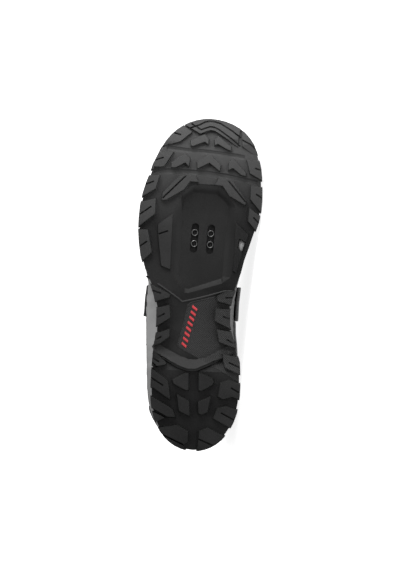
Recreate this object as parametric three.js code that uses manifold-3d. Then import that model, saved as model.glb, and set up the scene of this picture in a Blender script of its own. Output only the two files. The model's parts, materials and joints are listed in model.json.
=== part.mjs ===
// A right cycling shoe for riding and walking, EU 42: a lugged rubber outsole with a recessed cleat pocket,
// a foam midsole, a nut plate, an insole, a hollow upper with its overlays, a tongue and one instep strap.
// Millimetres. The shoe is drawn standing (x to the toe, y up, z to the outer side), and then laid on its
// inner side, the way it rests when its sole is shown.
import * as THREE from "three";
import { mergeVertices } from "three/addons/utils/BufferGeometryUtils.js";
import { ConvexHull } from "three/addons/math/ConvexHull.js";
import Module from "manifold-3d";

const wasm = await Module();
wasm.setup();

// Main sizes
const length = 290; // outsole, heel to toe
const ballHalf = 53; // half of the sole's width at the ball
const heelStack = 26; // ground to footbed at the heel
const foreStack = 18; // ground to footbed at the ball
const instepHeight = 110; // ground to the crown at the front of the collar
const heelHeight = 93; // ground to the collar at the back
const ankleHeight = 66; // ground to the collar at the outer ankle
const ankleRise = 5; // how much higher the inner ankle is

// Sole sizes
const toeSpring = 16.5; // rise of the tread at the toe
const heelBevel = 4.5; // rise of the tread at the back of the heel
const lugDepth = 4.5;
const lugDraft = 0.7; // how much a lug widens from its face to its root, each side
const archRise = 11; // ground to the rubber between the arch lugs
const archLugLift = 3; // ground to the faces of the arch lugs
const heelRubber = 4; // rubber between lugs and foam
const archRubber = 3;
const foreRubber = 7.5;
const notch = 1.1; // how far edge lugs stand out past the rubber plate
const foamInset = 0.8; // how far the foam starts inside the rubber

// Cleat pocket and nut plate
const pocketDepth = 4.5; // above the roots of the lugs
const slotLength = 25.8;
const slotWidth = 6.4;
const slotSpacing = 14;
const slotTilt = THREE.MathUtils.degToRad(2);
const slotCentre = { along: 0.6375, across: 0.01 };
const holeSpacing = 9.6;
const holeBore = 4.2; // tapping size of the cleat screws
const bossDiameter = 5.8;
const nutPlate = { length: 34, width: 27, thickness: 2, boss: 2 };

// Upper and soft parts
const wall = 2.4;
const gap = 0.3; // between pieces that meet
const insoleThickness = 3.6;
const insoleClearance = 0.6;
const tongueThickness = 4;
const overlayThickness = 1.1;
const toeCapThickness = 1.9;
const strapThickness = 2.6;
const strapEnd = { height: 42, slant: 3, reach: 9 }; // free end on the outer side
const toeCapHeight = 52; // where its back edge meets the top of the toe
const counterHeight = 70; // at the back of the heel
const throatFront = 0.6; // share of the length
const throatHalf = { front: 8, back: 17 };
const tongueOverlap = 9; // each side, under the upper
const eyestayWidth = 11;

// Turns rows of numbers into rows with named columns.
function table(columns, rows) {
  return rows.map((row) => Object.fromEntries(columns.map((name, i) => [name, row[i]])));
}

// A smooth curve through one column of a table, with no overshoot between its rows.
function smooth(rows, at, column) {
  const n = rows.length;
  const steps = rows.slice(1).map((row, i) => (row[column] - rows[i][column]) / (row[at] - rows[i][at]));
  const slopes = rows.map((row, i) => {
    if (i === 0 || i === n - 1) return 0;
    const [before, after] = [steps[i - 1], steps[i]];
    return before * after <= 0 ? 0 : (2 * before * after) / (before + after);
  });
  return (value) => {
    const x = THREE.MathUtils.clamp(value, rows[0][at], rows[n - 1][at]);
    let i = 0;
    while (i < n - 2 && x > rows[i + 1][at]) i++;
    const h = rows[i + 1][at] - rows[i][at];
    const k = (x - rows[i][at]) / h;
    const [a, b] = [rows[i][column], rows[i + 1][column]];
    const ease = k * k * (3 - 2 * k);
    return a + (b - a) * ease + h * k * (1 - k) * ((1 - k) * slopes[i] - k * slopes[i + 1]);
  };
}

// How round an end is: 0 at the very end, 1 where the round is over.
function roundEnd(share, power) {
  return Math.sqrt(Math.max(0, 1 - (1 - THREE.MathUtils.clamp(share, 0, 1)) ** power));
}

// Half widths as shares of ballHalf, at shares of the length. The ends are rounded by formula.
const widthRows = table(["at", "rubberLateral", "rubberMedial", "foamLateral", "foamMedial"], [
  [0.0, 0.742, 0.73, 0.79, 0.69],
  [0.1, 0.742, 0.73, 0.8, 0.69],
  [0.19, 0.742, 0.73, 0.815, 0.7],
  [0.24, 0.742, 0.718, 0.838, 0.69],
  [0.27, 0.736, 0.706, 0.85, 0.675],
  [0.305, 0.724, 0.648, 0.862, 0.635],
  [0.33, 0.706, 0.6, 0.87, 0.605],
  [0.36, 0.7, 0.55, 0.88, 0.585],
  [0.4, 0.7, 0.5, 0.89, 0.575],
  [0.44, 0.72, 0.51, 0.89, 0.575],
  [0.46, 0.76, 0.53, 0.885, 0.58],
  [0.5, 0.84, 0.6, 0.875, 0.605],
  [0.54, 0.947, 0.668, 0.925, 0.65],
  [0.57, 1.0, 0.7, 0.97, 0.685],
  [0.6, 1.035, 0.75, 1.0, 0.73],
  [0.66, 1.07, 0.844, 1.035, 0.815],
  [0.7, 1.07, 0.91, 1.035, 0.88],
  [0.75, 1.04, 0.938, 1.005, 0.908],
  [0.79, 0.99, 0.93, 0.955, 0.9],
  [0.82, 0.93, 0.92, 0.9, 0.89],
  [0.86, 0.905, 0.905, 0.88, 0.88],
  [0.89, 0.885, 0.895, 0.865, 0.87],
  [0.93, 0.9, 0.91, 0.87, 0.88],
  [1.0, 0.93, 0.93, 0.9, 0.9],
]);
const heelRound = { share: 0.19, power: 2.3 };
const toeRound = { share: 0.18, lateral: 1.7, medial: 2.3, centre: -0.03 };

const rubberSpan = { start: 0, end: 1 };
const foamSpan = { start: 0.008, end: 0.992 };

// An outline: at a share of its own length, where it is and how wide to each side.
function outline(lateral, medial, span, inset) {
  const start = span.start * length + inset;
  const end = span.end * length - inset;
  const lateralAt = smooth(widthRows, "at", lateral);
  const medialAt = smooth(widthRows, "at", medial);
  return (share) => {
    const x = start + (end - start) * share;
    const at = x / length;
    const heel = roundEnd((x - start) / (heelRound.share * length), heelRound.power);
    const toToe = (end - x) / (toeRound.share * length);
    const centre = toeRound.centre * ballHalf * THREE.MathUtils.smoothstep(at, 1 - toeRound.share, 1);
    const outer = (lateralAt(at) * ballHalf - inset - centre) * heel * roundEnd(toToe, toeRound.lateral);
    const inner = (medialAt(at) * ballHalf - inset + centre) * heel * roundEnd(toToe, toeRound.medial);
    return { x, at, lateral: centre + outer, medial: centre - inner };
  };
}

// Rises along the sole, as shares of heelBevel, toeSpring and the arch's rise.
const riseRows = table(["at", "heel", "toe", "arch"], [
  [0.0, 1, 0, 0],
  [0.02, 0.45, 0, 0],
  [0.05, 0.12, 0, 0],
  [0.09, 0, 0, 0],
  [0.243, 0, 0, 0],
  [0.27, 0, 0, 0.9],
  [0.3, 0, 0, 1],
  [0.36, 0, 0, 0.95],
  [0.42, 0, 0, 0.6],
  [0.465, 0, 0, 0.3],
  [0.52, 0, 0, 0.06],
  [0.55, 0, 0, 0],
  [0.78, 0, 0, 0],
  [0.82, 0, 0.03, 0],
  [0.86, 0, 0.12, 0],
  [0.9, 0, 0.27, 0],
  [0.94, 0, 0.5, 0],
  [0.97, 0, 0.73, 0],
  [1.0, 0, 1, 0],
]);
const heelRise = smooth(riseRows, "at", "heel");
const toeRise = smooth(riseRows, "at", "toe");
const archShare = smooth(riseRows, "at", "arch");
const breastSweep = 0.045; // the heel breast runs forwards towards both edges

const rubberRows = table(["at", "rubber", "drop"], [
  [0.0, heelRubber, 0],
  [0.24, heelRubber, 0.02],
  [0.3, archRubber, 0.12],
  [0.42, archRubber, 0.5],
  [0.5, (archRubber + foreRubber) / 2, 0.8],
  [0.56, foreRubber, 0.95],
  [0.64, foreRubber, 1],
  [0.84, foreRubber, 1],
  [0.92, (heelRubber + foreRubber) / 2, 1],
  [1.0, heelRubber, 1],
]);
const rubberThickness = smooth(rubberRows, "at", "rubber");
const footbedDrop = smooth(rubberRows, "at", "drop");

// Heights along the sole: lug faces, rubber between the lugs, top of the rubber, footbed.
function treadHeight(at) {
  return heelBevel * heelRise(at) + toeSpring * toeRise(at) + archLugLift * archShare(at);
}
function rootHeight(at) {
  const arch = (archRise - lugDepth) * archShare(at);
  return heelBevel * heelRise(at) * 0.5 + toeSpring * toeRise(at) * 0.92 + lugDepth + arch;
}
function rubberTop(at) {
  return rootHeight(at) + rubberThickness(at);
}
function footbedHeight(at) {
  const stack = heelStack + (foreStack - heelStack) * footbedDrop(at);
  return stack + toeSpring * toeRise(at) * 0.72;
}

// A closed solid from corner positions and triangles.
function solid(positions, triangles) {
  const loose = new THREE.BufferGeometry();
  loose.setAttribute("position", new THREE.Float32BufferAttribute(positions, 3));
  loose.setIndex(triangles);
  const merged = mergeVertices(loose, 1e-3);
  const index = merged.index.array;
  const kept = [];
  for (let i = 0; i < index.length; i += 3) {
    const [a, b, c] = [index[i], index[i + 1], index[i + 2]];
    if (a !== b && b !== c && c !== a) kept.push(a, b, c);
  }
  const made = new wasm.Manifold(new wasm.Mesh({
    numProp: 3,
    vertProperties: merged.attributes.position.array,
    triVerts: new Uint32Array(kept),
  }));
  if (made.volume() > 0) return made;
  for (let i = 0; i < kept.length; i += 3) [kept[i + 1], kept[i + 2]] = [kept[i + 2], kept[i + 1]];
  return new wasm.Manifold(new wasm.Mesh({
    numProp: 3,
    vertProperties: merged.attributes.position.array,
    triVerts: new Uint32Array(kept),
  }));
}

// A closed solid through a stack of rings with as many points each. Its two ends are capped by the flat shape
// that the given function makes of a ring point.
function stack(rings, flat) {
  const count = rings[0].length;
  const positions = rings.flat().flatMap((p) => [p.x, p.y, p.z]);
  const triangles = [];
  for (let level = 0; level + 1 < rings.length; level++) {
    for (let i = 0; i < count; i++) {
      const j = (i + 1) % count;
      const [a, b] = [level * count + i, level * count + j];
      triangles.push(a, b, a + count, b, b + count, a + count);
    }
  }
  const last = (rings.length - 1) * count;
  const turned = THREE.ShapeUtils.area(rings[0].map(flat)) < 0;
  for (const [a, b, c] of THREE.ShapeUtils.triangulateShape(rings[0].map(flat), [])) {
    triangles.push(...(turned ? [a, b, c] : [a, c, b]));
  }
  for (const [a, b, c] of THREE.ShapeUtils.triangulateShape(rings[rings.length - 1].map(flat), [])) {
    triangles.push(...(turned ? [last + a, last + c, last + b] : [last + a, last + b, last + c]));
  }
  return solid(positions, triangles);
}

// Stations along a shoe, closer together at its round ends.
function stations(count) {
  return Array.from({ length: count + 1 }, (_, i) => 0.5 - 0.5 * Math.cos((Math.PI * i) / count));
}

const alongSteps = 40;

// A plate inside two outlines, from a lower to an upper height given at a share of the length and of the width.
function plate(low, high, lowHeight, highHeight, across) {
  const positions = [];
  for (const [edge, height] of [[low, lowHeight], [high, highHeight]]) {
    for (const share of stations(alongSteps)) {
      const { x, at, lateral, medial } = edge(share);
      for (let j = 0; j <= across; j++) {
        const z = lateral + ((medial - lateral) * j) / across;
        positions.push(x, height(at, z / ballHalf), z);
      }
    }
  }
  const row = across + 1;
  const top = row * (alongSteps + 1);
  const triangles = [];
  for (let i = 0; i < alongSteps; i++) {
    for (let j = 0; j < across; j++) {
      const a = i * row + j;
      triangles.push(a, a + row, a + 1, a + 1, a + row, a + row + 1);
      triangles.push(top + a, top + a + 1, top + a + row, top + a + 1, top + a + row + 1, top + a + row);
    }
    for (const [a, turn] of [[i * row, false], [i * row + across, true]]) {
      const quad = [a, top + a, a + row, top + a, top + a + row, a + row];
      triangles.push(...(turn ? quad.reverse() : quad));
    }
  }
  return solid(positions, triangles);
}

// Corner points given as [across, along] shares, moved outwards by a margin, at one height.
function ring(corners, margin, height) {
  const points = corners.map(([across, along]) => new THREE.Vector2(along * length, across * ballHalf));
  const sign = Math.sign(THREE.ShapeUtils.area(points));
  return points.map((p, i) => {
    const before = points[(i + points.length - 1) % points.length];
    const after = points[(i + 1) % points.length];
    const into = p.clone().sub(before).normalize();
    const out = after.clone().sub(p).normalize();
    const mitre = new THREE.Vector2(into.y + out.y, -into.x - out.x).normalize().multiplyScalar(sign);
    const reach = margin / Math.max(0.5, mitre.dot(new THREE.Vector2(out.y, -out.x).multiplyScalar(sign)));
    return new THREE.Vector3(p.x + mitre.x * reach, height, p.y + mitre.y * reach);
  });
}
const plan = (p) => new THREE.Vector2(p.x, p.z);

// An upright prism on corners given as shares.
function prism(corners, low, high, margin = 0) {
  return stack([ring(corners, margin, low), ring(corners, margin, high)], plan);
}

// A lug: its face has the given corners, and its sides spread towards the root. Rise is the share of the full depth.
function lug({ corners, rise = 1 }) {
  const middle = corners.reduce((sum, [, along]) => sum + along / corners.length, 0);
  const at = THREE.MathUtils.clamp(middle, 0, 1);
  const root = rootHeight(at);
  const face = root - (root - treadHeight(at)) * rise;
  const over = 3;
  const spread = lugDraft / (root - face);
  const reach = rise < 1 ? 0 : over;
  return stack([
    ring(corners, -spread * reach, face - reach),
    ring(corners, lugDraft + spread * over, root + over),
  ], plan);
}

// Lugs of the tread, corners as [across, along] shares, the outer side positive. What passes the outline is cut off.
const past = 1.25;
const lugRows = [
  { name: "toe", corners: [[0.5, 1.03], [0.364, 0.977], [0.129, 0.951], [0.047, 0.959], [-0.035, 0.965],
    [-0.106, 0.963], [-0.176, 0.955], [-0.28, 0.9425], [-0.4, 0.926], [-0.504, 0.914], [-0.54, 1.03]] },
  { name: "toe inner", corners: [[-0.563, 1.03], [-0.555, 0.919], [-0.739, 0.896], [-past, 0.889], [-past, 1.03]] },
  { name: "toe outer", corners: [[0.52, 1.0], [0.434, 0.975], [0.276, 0.9575], [0.28, 0.954], [0.446, 0.924],
    [0.7, 0.909], [past, 0.897], [past, 1.0]] },
  { name: "front chevron outer", corners: [[0.279, 0.93], [0.059, 0.949], [-0.01, 0.936], [-0.005, 0.921],
    [0.053, 0.9286], [0.24, 0.9125], [0.279, 0.9136]] },
  { name: "front chevron inner", corners: [[-0.113, 0.934], [-0.168, 0.946], [-0.39, 0.916], [-0.383, 0.904],
    [-0.309, 0.909], [-0.165, 0.924], [-0.117, 0.919]] },
  { name: "second outer edge", corners: [[past, 0.885], [0.566, 0.8905], [0.69, 0.849], [past, 0.815]] },
  { name: "second outer chevron", corners: [[0.575, 0.86], [0.355, 0.8885], [0.282, 0.8735], [0.292, 0.851],
    [0.353, 0.8625], [0.515, 0.8455], [0.575, 0.842]] },
  { name: "second middle chevron", corners: [[0.156, 0.865], [-0.04, 0.891], [-0.229, 0.859], [-0.217, 0.841],
    [-0.042, 0.8655], [0.15, 0.8457]] },
  { name: "second inner chevron", corners: [[-0.365, 0.8685], [-0.434, 0.8795], [-0.648, 0.839], [-0.64, 0.83],
    [-0.575, 0.8325], [-0.429, 0.853], [-0.36, 0.8464]] },
  { name: "second inner edge", corners: [[-0.66, 0.878], [-0.715, 0.839], [-0.92, 0.819], [-past, 0.79],
    [-past, 0.873]] },
  { name: "third outer edge", corners: [[0.766, 0.8186], [0.8186, 0.78], [1.036, 0.754], [past, 0.73],
    [past, 0.812]] },
  { name: "fourth outer edge", corners: [[0.807, 0.75], [0.807, 0.705], [1.07, 0.664], [past, 0.64],
    [past, 0.726]] },
  { name: "fifth outer edge", corners: [[0.912, 0.655], [0.83, 0.59], [0.985, 0.561], [past, 0.545],
    [past, 0.656]] },
  { name: "third inner edge", corners: [[-0.738, 0.802], [-0.745, 0.761], [-0.915, 0.7265], [-past, 0.66],
    [-past, 0.79]] },
  { name: "fourth inner edge", corners: [[-0.735, 0.735], [-0.721, 0.696], [-0.862, 0.668], [-past, 0.59],
    [-past, 0.66], [-0.9, 0.713]] },
  { name: "outer wing", corners: [[0.43, 0.8205], [0.695, 0.767], [0.7, 0.7467], [0.637, 0.748], [0.35, 0.782],
    [0.26, 0.807], [0.127, 0.8055], [0.175, 0.825]] },
  { name: "inner wing", corners: [[-0.21, 0.8205], [-0.158, 0.7995], [-0.28, 0.798], [-0.393, 0.769],
    [-0.657, 0.7435], [-0.67, 0.756], [-0.44, 0.813]] },
  { name: "bridge", rise: 0.45, corners: [[0.16, 0.825], [-0.2, 0.825], [-0.155, 0.8], [0.12, 0.8]] },
  { name: "outer flank", rise: 0.5, corners: [[0.515, 0.706], [0.748, 0.6725], [0.7365, 0.646], [0.713, 0.611],
    [0.66, 0.551], [0.515, 0.541]] },
  { name: "inner flank", rise: 0.35, corners: [[-0.52, 0.69], [-0.739, 0.656], [-0.7, 0.632], [-0.651, 0.6],
    [-0.557, 0.542], [-0.52, 0.545]] },
  { name: "front arch outer", corners: [[past, 0.529], [0.5, 0.466], [0.5, 0.46], [0.53, 0.456], [0.735, 0.444],
    [past, 0.42]] },
  { name: "middle arch outer", corners: [[past, 0.421], [0.71, 0.423], [0.5, 0.434], [0.472, 0.4], [0.48, 0.396],
    [0.7, 0.369], [past, 0.31]] },
  { name: "rear arch outer", corners: [[past, 0.305], [0.7, 0.346], [0.478, 0.3625], [0.472, 0.34], [0.63, 0.3175],
    [0.72, 0.31]] },
  { name: "front arch inner", corners: [[-0.2845, 0.469], [-0.4, 0.48], [-0.5425, 0.484], [-past, 0.5],
    [-past, 0.43], [-0.507, 0.444], [-0.2845, 0.453]] },
  { name: "middle arch inner", corners: [[-0.261, 0.43], [-0.4956, 0.43], [-past, 0.43], [-past, 0.32],
    [-0.513, 0.3725], [-0.261, 0.393]] },
  { name: "rear arch inner", corners: [[-0.296, 0.368], [-0.33, 0.345], [-0.345, 0.331], [-0.62, 0.315],
    [-past, 0.31], [-past, 0.35], [-0.62, 0.36]] },
  { name: "heel front outer", corners: [[0.72, 0.295], [0.5, 0.262], [0.513, 0.256], [0.62, 0.251], [past, 0.25],
    [past, 0.3]] },
  { name: "heel second outer", corners: [[past, 0.243], [0.75, 0.243], [0.513, 0.2156], [0.46, 0.205],
    [0.41, 0.157], [0.425, 0.154], [0.7, 0.186], [past, 0.2]] },
  { name: "heel third outer", corners: [[past, 0.17], [0.7, 0.157], [0.431, 0.1314], [0.36, 0.122],
    [0.3136, 0.1014], [0.445, 0.1012], [0.68, 0.124], [past, 0.14]] },
  { name: "heel corner outer", corners: [[past, 0.125], [0.67, 0.112], [0.49, 0.0975], [0.62, 0.084],
    [past, 0.07]] },
  { name: "heel back outer", corners: [[0.65, 0.063], [0.267, 0.077], [0.09, 0.06], [0.095, 0.03], [0.15, 0.022],
    [0.65, 0.06]] },
  { name: "heel end outer", corners: [[0.6, 0.045], [0.5, 0.045], [0.15, 0.015], [0.12, -0.01], [0.6, -0.01]] },
  { name: "heel front inner", corners: [[-0.42, 0.295], [-0.43, 0.275], [-0.46, 0.256], [-0.72, 0.235],
    [-past, 0.22], [-past, 0.29], [-0.62, 0.287]] },
  { name: "heel second inner", corners: [[-0.4, 0.208], [-0.54, 0.218], [-0.72, 0.208], [-past, 0.2],
    [-past, 0.158], [-0.71, 0.163], [-0.607, 0.17], [-0.45, 0.161], [-0.373, 0.168]] },
  { name: "heel third inner", corners: [[-0.37, 0.132], [-0.52, 0.141], [-0.67, 0.13], [-past, 0.12],
    [-past, 0.06], [-0.58, 0.078], [-0.31, 0.1025]] },
  { name: "heel back inner", corners: [[-0.09, 0.061], [-0.226, 0.074], [-0.51, 0.05], [-0.6, 0.03],
    [-0.5, -0.01], [-0.08, -0.01]] },
  { name: "centre front outer", corners: [[0.385, 0.2113], [0.17, 0.2335], [0.13, 0.2335], [0.12, 0.184],
    [0.165, 0.183], [0.365, 0.201]] },
  { name: "centre front inner", corners: [[-0.04, 0.237], [-0.27, 0.22], [-0.29, 0.211], [-0.27, 0.203],
    [-0.095, 0.183], [-0.05, 0.184]] },
  { name: "centre back outer", corners: [[0.298, 0.168], [0.097, 0.15], [0.078, 0.106], [0.255, 0.12]] },
  { name: "centre back inner", corners: [[-0.05, 0.1486], [-0.25, 0.167], [-0.21, 0.121], [-0.12, 0.112],
    [-0.067, 0.115]] },
];

// The cleat pocket: corners of its flat floor and of its rim, [across, along] shares.
const pocketRows = table(["floor", "rim"], [
  [[0.2, 0.7755], [0.2, 0.795]],
  [[-0.19, 0.7725], [-0.21, 0.795]],
  [[-0.358, 0.748], [-0.393, 0.769]],
  [[-0.387, 0.737], [-0.51, 0.735]],
  [[-0.364, 0.62], [-0.51, 0.62]],
  [[-0.345, 0.527], [-0.5, 0.525]],
  [[-0.335, 0.5215], [-0.349, 0.503]],
  [[0.2, 0.485], [0.208, 0.465]],
  [[0.26, 0.486], [0.267, 0.465]],
  [[0.384, 0.53], [0.495, 0.53]],
  [[0.367, 0.6135], [0.5, 0.61]],
  [[0.355, 0.71], [0.5, 0.715]],
  [[0.355, 0.7525], [0.4, 0.765]],
]);
const pocketFloor = lugDepth + pocketDepth;

const foamWindow = [[-0.592, 0.642], [-0.704, 0.632], [-0.651, 0.6], [-0.569, 0.616]];

// Everything inside this outline can be ground: the sole's own edge, from the lug faces up.
const treadOutline = outline("rubberLateral", "rubberMedial", rubberSpan, 0);
const plateOutline = outline("rubberLateral", "rubberMedial", rubberSpan, notch);
const foamLow = outline("rubberLateral", "rubberMedial", rubberSpan, notch + foamInset);
const foamHigh = outline("foamLateral", "foamMedial", foamSpan, 0);

// An upright cylinder or slot between two heights.
function post(x, z, diameter, low, high) {
  const steps = 16;
  const rim = Array.from({ length: steps }, (_, i) => (2 * Math.PI * i) / steps);
  const at = (y) => rim.map((turn) => new THREE.Vector3(
    x + (Math.cos(turn) * diameter) / 2, y, z + (Math.sin(turn) * diameter) / 2));
  return stack([at(low), at(high)], plan);
}

// Turns a point given along and across the cleat slots into the sole's own place.
function fromSlots(along, across) {
  return {
    x: slotCentre.along * length + along * Math.cos(slotTilt) + across * Math.sin(slotTilt),
    z: slotCentre.across * ballHalf - along * Math.sin(slotTilt) + across * Math.cos(slotTilt),
  };
}

function slot(side, width, low, high) {
  const across = (side * slotSpacing) / 2;
  const ends = [-1, 1].map((end) => {
    const { x, z } = fromSlots((end * (slotLength - slotWidth)) / 2, across);
    return post(x, z, width, low, high);
  });
  return wasm.Manifold.hull(ends);
}

function makeOutsole() {
  const rubber = plate(plateOutline, plateOutline,
    (at, across) => rootHeight(at - breastSweep * across ** 2), (at) => rubberTop(at), 6);
  const block = plate(treadOutline, treadOutline, (at) => treadHeight(at), (at) => rootHeight(at) + 2, 1);
  const lugs = wasm.Manifold.union(lugRows.map(lug)).intersect(block);
  const mouth = 1;
  const drop = pocketDepth + mouth;
  const cavity = stack([
    pocketRows.map(({ floor: [ft, fs], rim: [rt, rs] }) => new THREE.Vector3(
      (rs + ((rs - fs) * mouth) / pocketDepth) * length, pocketFloor - drop,
      (rt + ((rt - ft) * mouth) / pocketDepth) * ballHalf)),
    pocketRows.map(({ floor: [across, along] }) => new THREE.Vector3(
      along * length, pocketFloor, across * ballHalf)),
  ], plan);
  const cuts = [cavity, prism(foamWindow, 0, rubberTop(0.62) + 1)];
  for (const side of [-1, 1]) cuts.push(slot(side, slotWidth, 0, rubberTop(slotCentre.along) + 1));
  return rubber.add(lugs).subtract(wasm.Manifold.union(cuts));
}

const nutTop = rubberTop(slotCentre.along) + gap + nutPlate.thickness;

function nutPlateBlock(margin) {
  const corners = [[-1, -1], [1, -1], [1, 1], [-1, 1]].map(([along, across]) => {
    const { x, z } = fromSlots(
      along * (nutPlate.length / 2 + margin), across * (nutPlate.width / 2 + margin));
    return new THREE.Vector2(x, z);
  });
  const at = (y) => corners.map((p) => new THREE.Vector3(p.x, y, p.y));
  return stack([at(nutTop - nutPlate.thickness - margin), at(nutTop + margin)], plan);
}

function makeNutPlate() {
  let made = nutPlateBlock(0);
  const bores = [];
  for (const side of [-1, 1]) {
    for (const end of [-1, 1]) {
      const { x, z } = fromSlots((end * holeSpacing) / 2, (side * slotSpacing) / 2);
      const low = nutTop - nutPlate.thickness - nutPlate.boss;
      made = made.add(post(x, z, bossDiameter, low, nutTop - nutPlate.thickness / 2));
      bores.push(post(x, z, holeBore, low - 1, nutTop + 1));
    }
  }
  return made.subtract(wasm.Manifold.union(bores));
}

function makeMidsole() {
  const foam = plate(foamLow, foamHigh, (at) => rubberTop(at) + gap, (at) => footbedHeight(at), 1);
  const plug = prism(foamWindow, lugDepth + 1, rubberTop(0.62) + 2, -gap);
  return foam.add(plug).subtract(nutPlateBlock(gap));
}

// The form of the upper: its heel and toe curves, crown and section shapes.
const heelCurve = smooth(table(["level", "back"], [
  [0.0, 0.016], [0.15, 0.01], [0.32, 0.007], [0.5, 0.011], [0.7, 0.022], [0.85, 0.034], [1.0, 0.05],
]), "level", "back");
const toeCurve = smooth(table(["level", "front"], [
  [0.0, 0.98], [0.25, 0.983], [0.5, 0.972], [0.75, 0.945], [0.9, 0.905], [1.0, 0.85],
]), "level", "front");
const formRows = table(["at", "crown", "ridge", "belly", "lean", "fill", "tuck"], [
  [0.0, 1.08, 0.0, 0.16, 1.25, 0.62, 0],
  [0.12, 1.08, 0.0, 0.17, 1.2, 0.66, 0],
  [0.28, 1.07, -0.01, 0.17, 1.12, 0.74, 0],
  [0.36, 1.04, -0.03, 0.16, 1.1, 0.64, 0],
  [0.42, 0.985, -0.05, 0.15, 1.12, 0.54, 0],
  [0.48, 0.91, -0.07, 0.15, 1.2, 0.5, 0.2],
  [0.54, 0.825, -0.085, 0.15, 1.34, 0.5, 0.5],
  [0.6, 0.745, -0.09, 0.17, 1.52, 0.5, 0.9],
  [0.68, 0.655, -0.085, 0.2, 1.8, 0.5, 1],
  [0.76, 0.597, -0.07, 0.22, 2.1, 0.5, 1],
  [0.84, 0.55, -0.055, 0.24, 2.35, 0.5, 0.9],
  [0.92, 0.505, -0.045, 0.26, 2.5, 0.5, 0.3],
  [1.0, 0.45, -0.04, 0.26, 2.6, 0.5, 0],
]);
const formFoot = 0.965; // width at the feather line as a share of the width at the belly
const formTuck = 1.8; // how much narrower than its foam the upper is at the ball
const formAt = Object.fromEntries(["crown", "ridge", "belly", "lean", "fill", "tuck"].map(
  (name) => [name, smooth(formRows, "at", name)]));
const foamLateralAt = smooth(widthRows, "at", "foamLateral");
const foamMedialAt = smooth(widthRows, "at", "foamMedial");
const formToe = { share: 0.16, lateral: 2.0, medial: 2.4 };
const heelNarrow = 0.9; // how much the round of the heel shortens as the form gets narrower

// A point of the form: level from the feather line (0) to the crown (1), share from heel to toe, side 1 outer or
// -1 inner, and how far outside the form's own surface.
function formPoint(level, share, side, out) {
  const start = heelCurve(level) * length - out;
  const end = toeCurve(level) * length + out;
  const x = start + (end - start) * share;
  const at = x / length;
  const low = footbedHeight(at) + gap;
  const y = low + level * (formAt.crown(at) * instepHeight + out - low);
  const belly = formAt.belly(at);
  const above = (level - belly) / (1 - belly);
  const below = (belly - level) / belly;
  const shape = above > 0
    ? (1 - above ** formAt.lean(at)) ** formAt.fill(at)
    : 1 - (1 - formFoot) * below ** 2;
  const heelReach = heelRound.share * length * (1 - heelNarrow * (1 - shape));
  const heel = roundEnd((x - start) / heelReach, heelRound.power);
  const toe = roundEnd((end - x) / (formToe.share * length), side > 0 ? formToe.lateral : formToe.medial);
  const ridge = formAt.ridge(at) * ballHalf;
  const foam = (side > 0 ? foamLateralAt(at) : foamMedialAt(at)) * ballHalf;
  const half = foam - formTuck * formAt.tuck(at) + out;
  return new THREE.Vector3(x, y, ridge + side * (half - side * ridge) * shape * heel * toe);
}

const formLevels = [0, 0.09, 0.18, 0.3, 0.42, 0.54, 0.66, 0.78, 0.88, 0.96, 1];
const formSteps = 32;

// The form as a closed solid. A skirt carries it on below the feather line.
function form(out, skirt = 0) {
  const shares = stations(formSteps);
  const rings = formLevels.map((level) => {
    const outer = shares.map((share) => formPoint(level, share, 1, out));
    const inner = shares.slice(1, -1).reverse().map((share) => formPoint(level, share, -1, out));
    return [...outer, ...inner];
  });
  if (skirt > 0) rings.unshift(rings[0].map((p) => new THREE.Vector3(p.x, p.y - skirt, p.z)));
  const count = rings[0].length;
  const positions = rings.flat().flatMap((p) => [p.x, p.y, p.z]);
  const triangles = [];
  for (let level = 0; level + 1 < rings.length; level++) {
    for (let i = 0; i < count; i++) {
      const [a, b] = [level * count + i, level * count + ((i + 1) % count)];
      triangles.push(a, b, a + count, b, b + count, a + count);
    }
  }
  for (let i = 0; i < formSteps; i++) {
    const [a, b] = [i, i + 1];
    const [c, d] = [(count - i) % count, count - i - 1];
    triangles.push(a, c, b, b, c, d);
  }
  return solid(positions, triangles);
}

// A slab between two side views, one at the inner and one at the outer side, from [along share, height] corners.
function sideSlab(innerCorners, outerCorners, reach) {
  const at = (corners, z) => corners.map(([along, y]) => new THREE.Vector3(along * length, y, z));
  return stack([at(innerCorners, -reach), at(outerCorners, reach)], (p) => new THREE.Vector2(p.x, p.y));
}

const far = 2 * ballHalf;
const skyHigh = instepHeight * 1.5;

// The collar's line from the heel to the tongue, as shares of the length and of the way from ankle to heel height.
const collarRows = table(["at", "rise"], [
  [0.0, 1.0], [0.02, 1.0], [0.06, 0.93], [0.1, 0.72], [0.14, 0.42], [0.19, 0.14], [0.25, 0.0], [0.3, 0.06],
  [0.345, 0.32], [0.385, 0.75], [0.42, 1.2], [0.44, 1.6],
]);

const collarSteps = 26;

function collarCut() {
  const rise = smooth(collarRows, "at", "rise");
  const [first, last] = [0.0, collarRows[collarRows.length - 1].at];
  const shares = Array.from({ length: collarSteps + 1 }, (_, i) => first + ((last - first) * i) / collarSteps);
  const line = (ankle) => [
    [-0.1, heelHeight],
    ...shares.map((at) => [at, ankle + (heelHeight - ankle) * rise(at)]),
    [last, skyHigh],
    [-0.1, skyHigh],
  ];
  return sideSlab(line(ankleHeight + ankleRise), line(ankleHeight), far);
}

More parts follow.
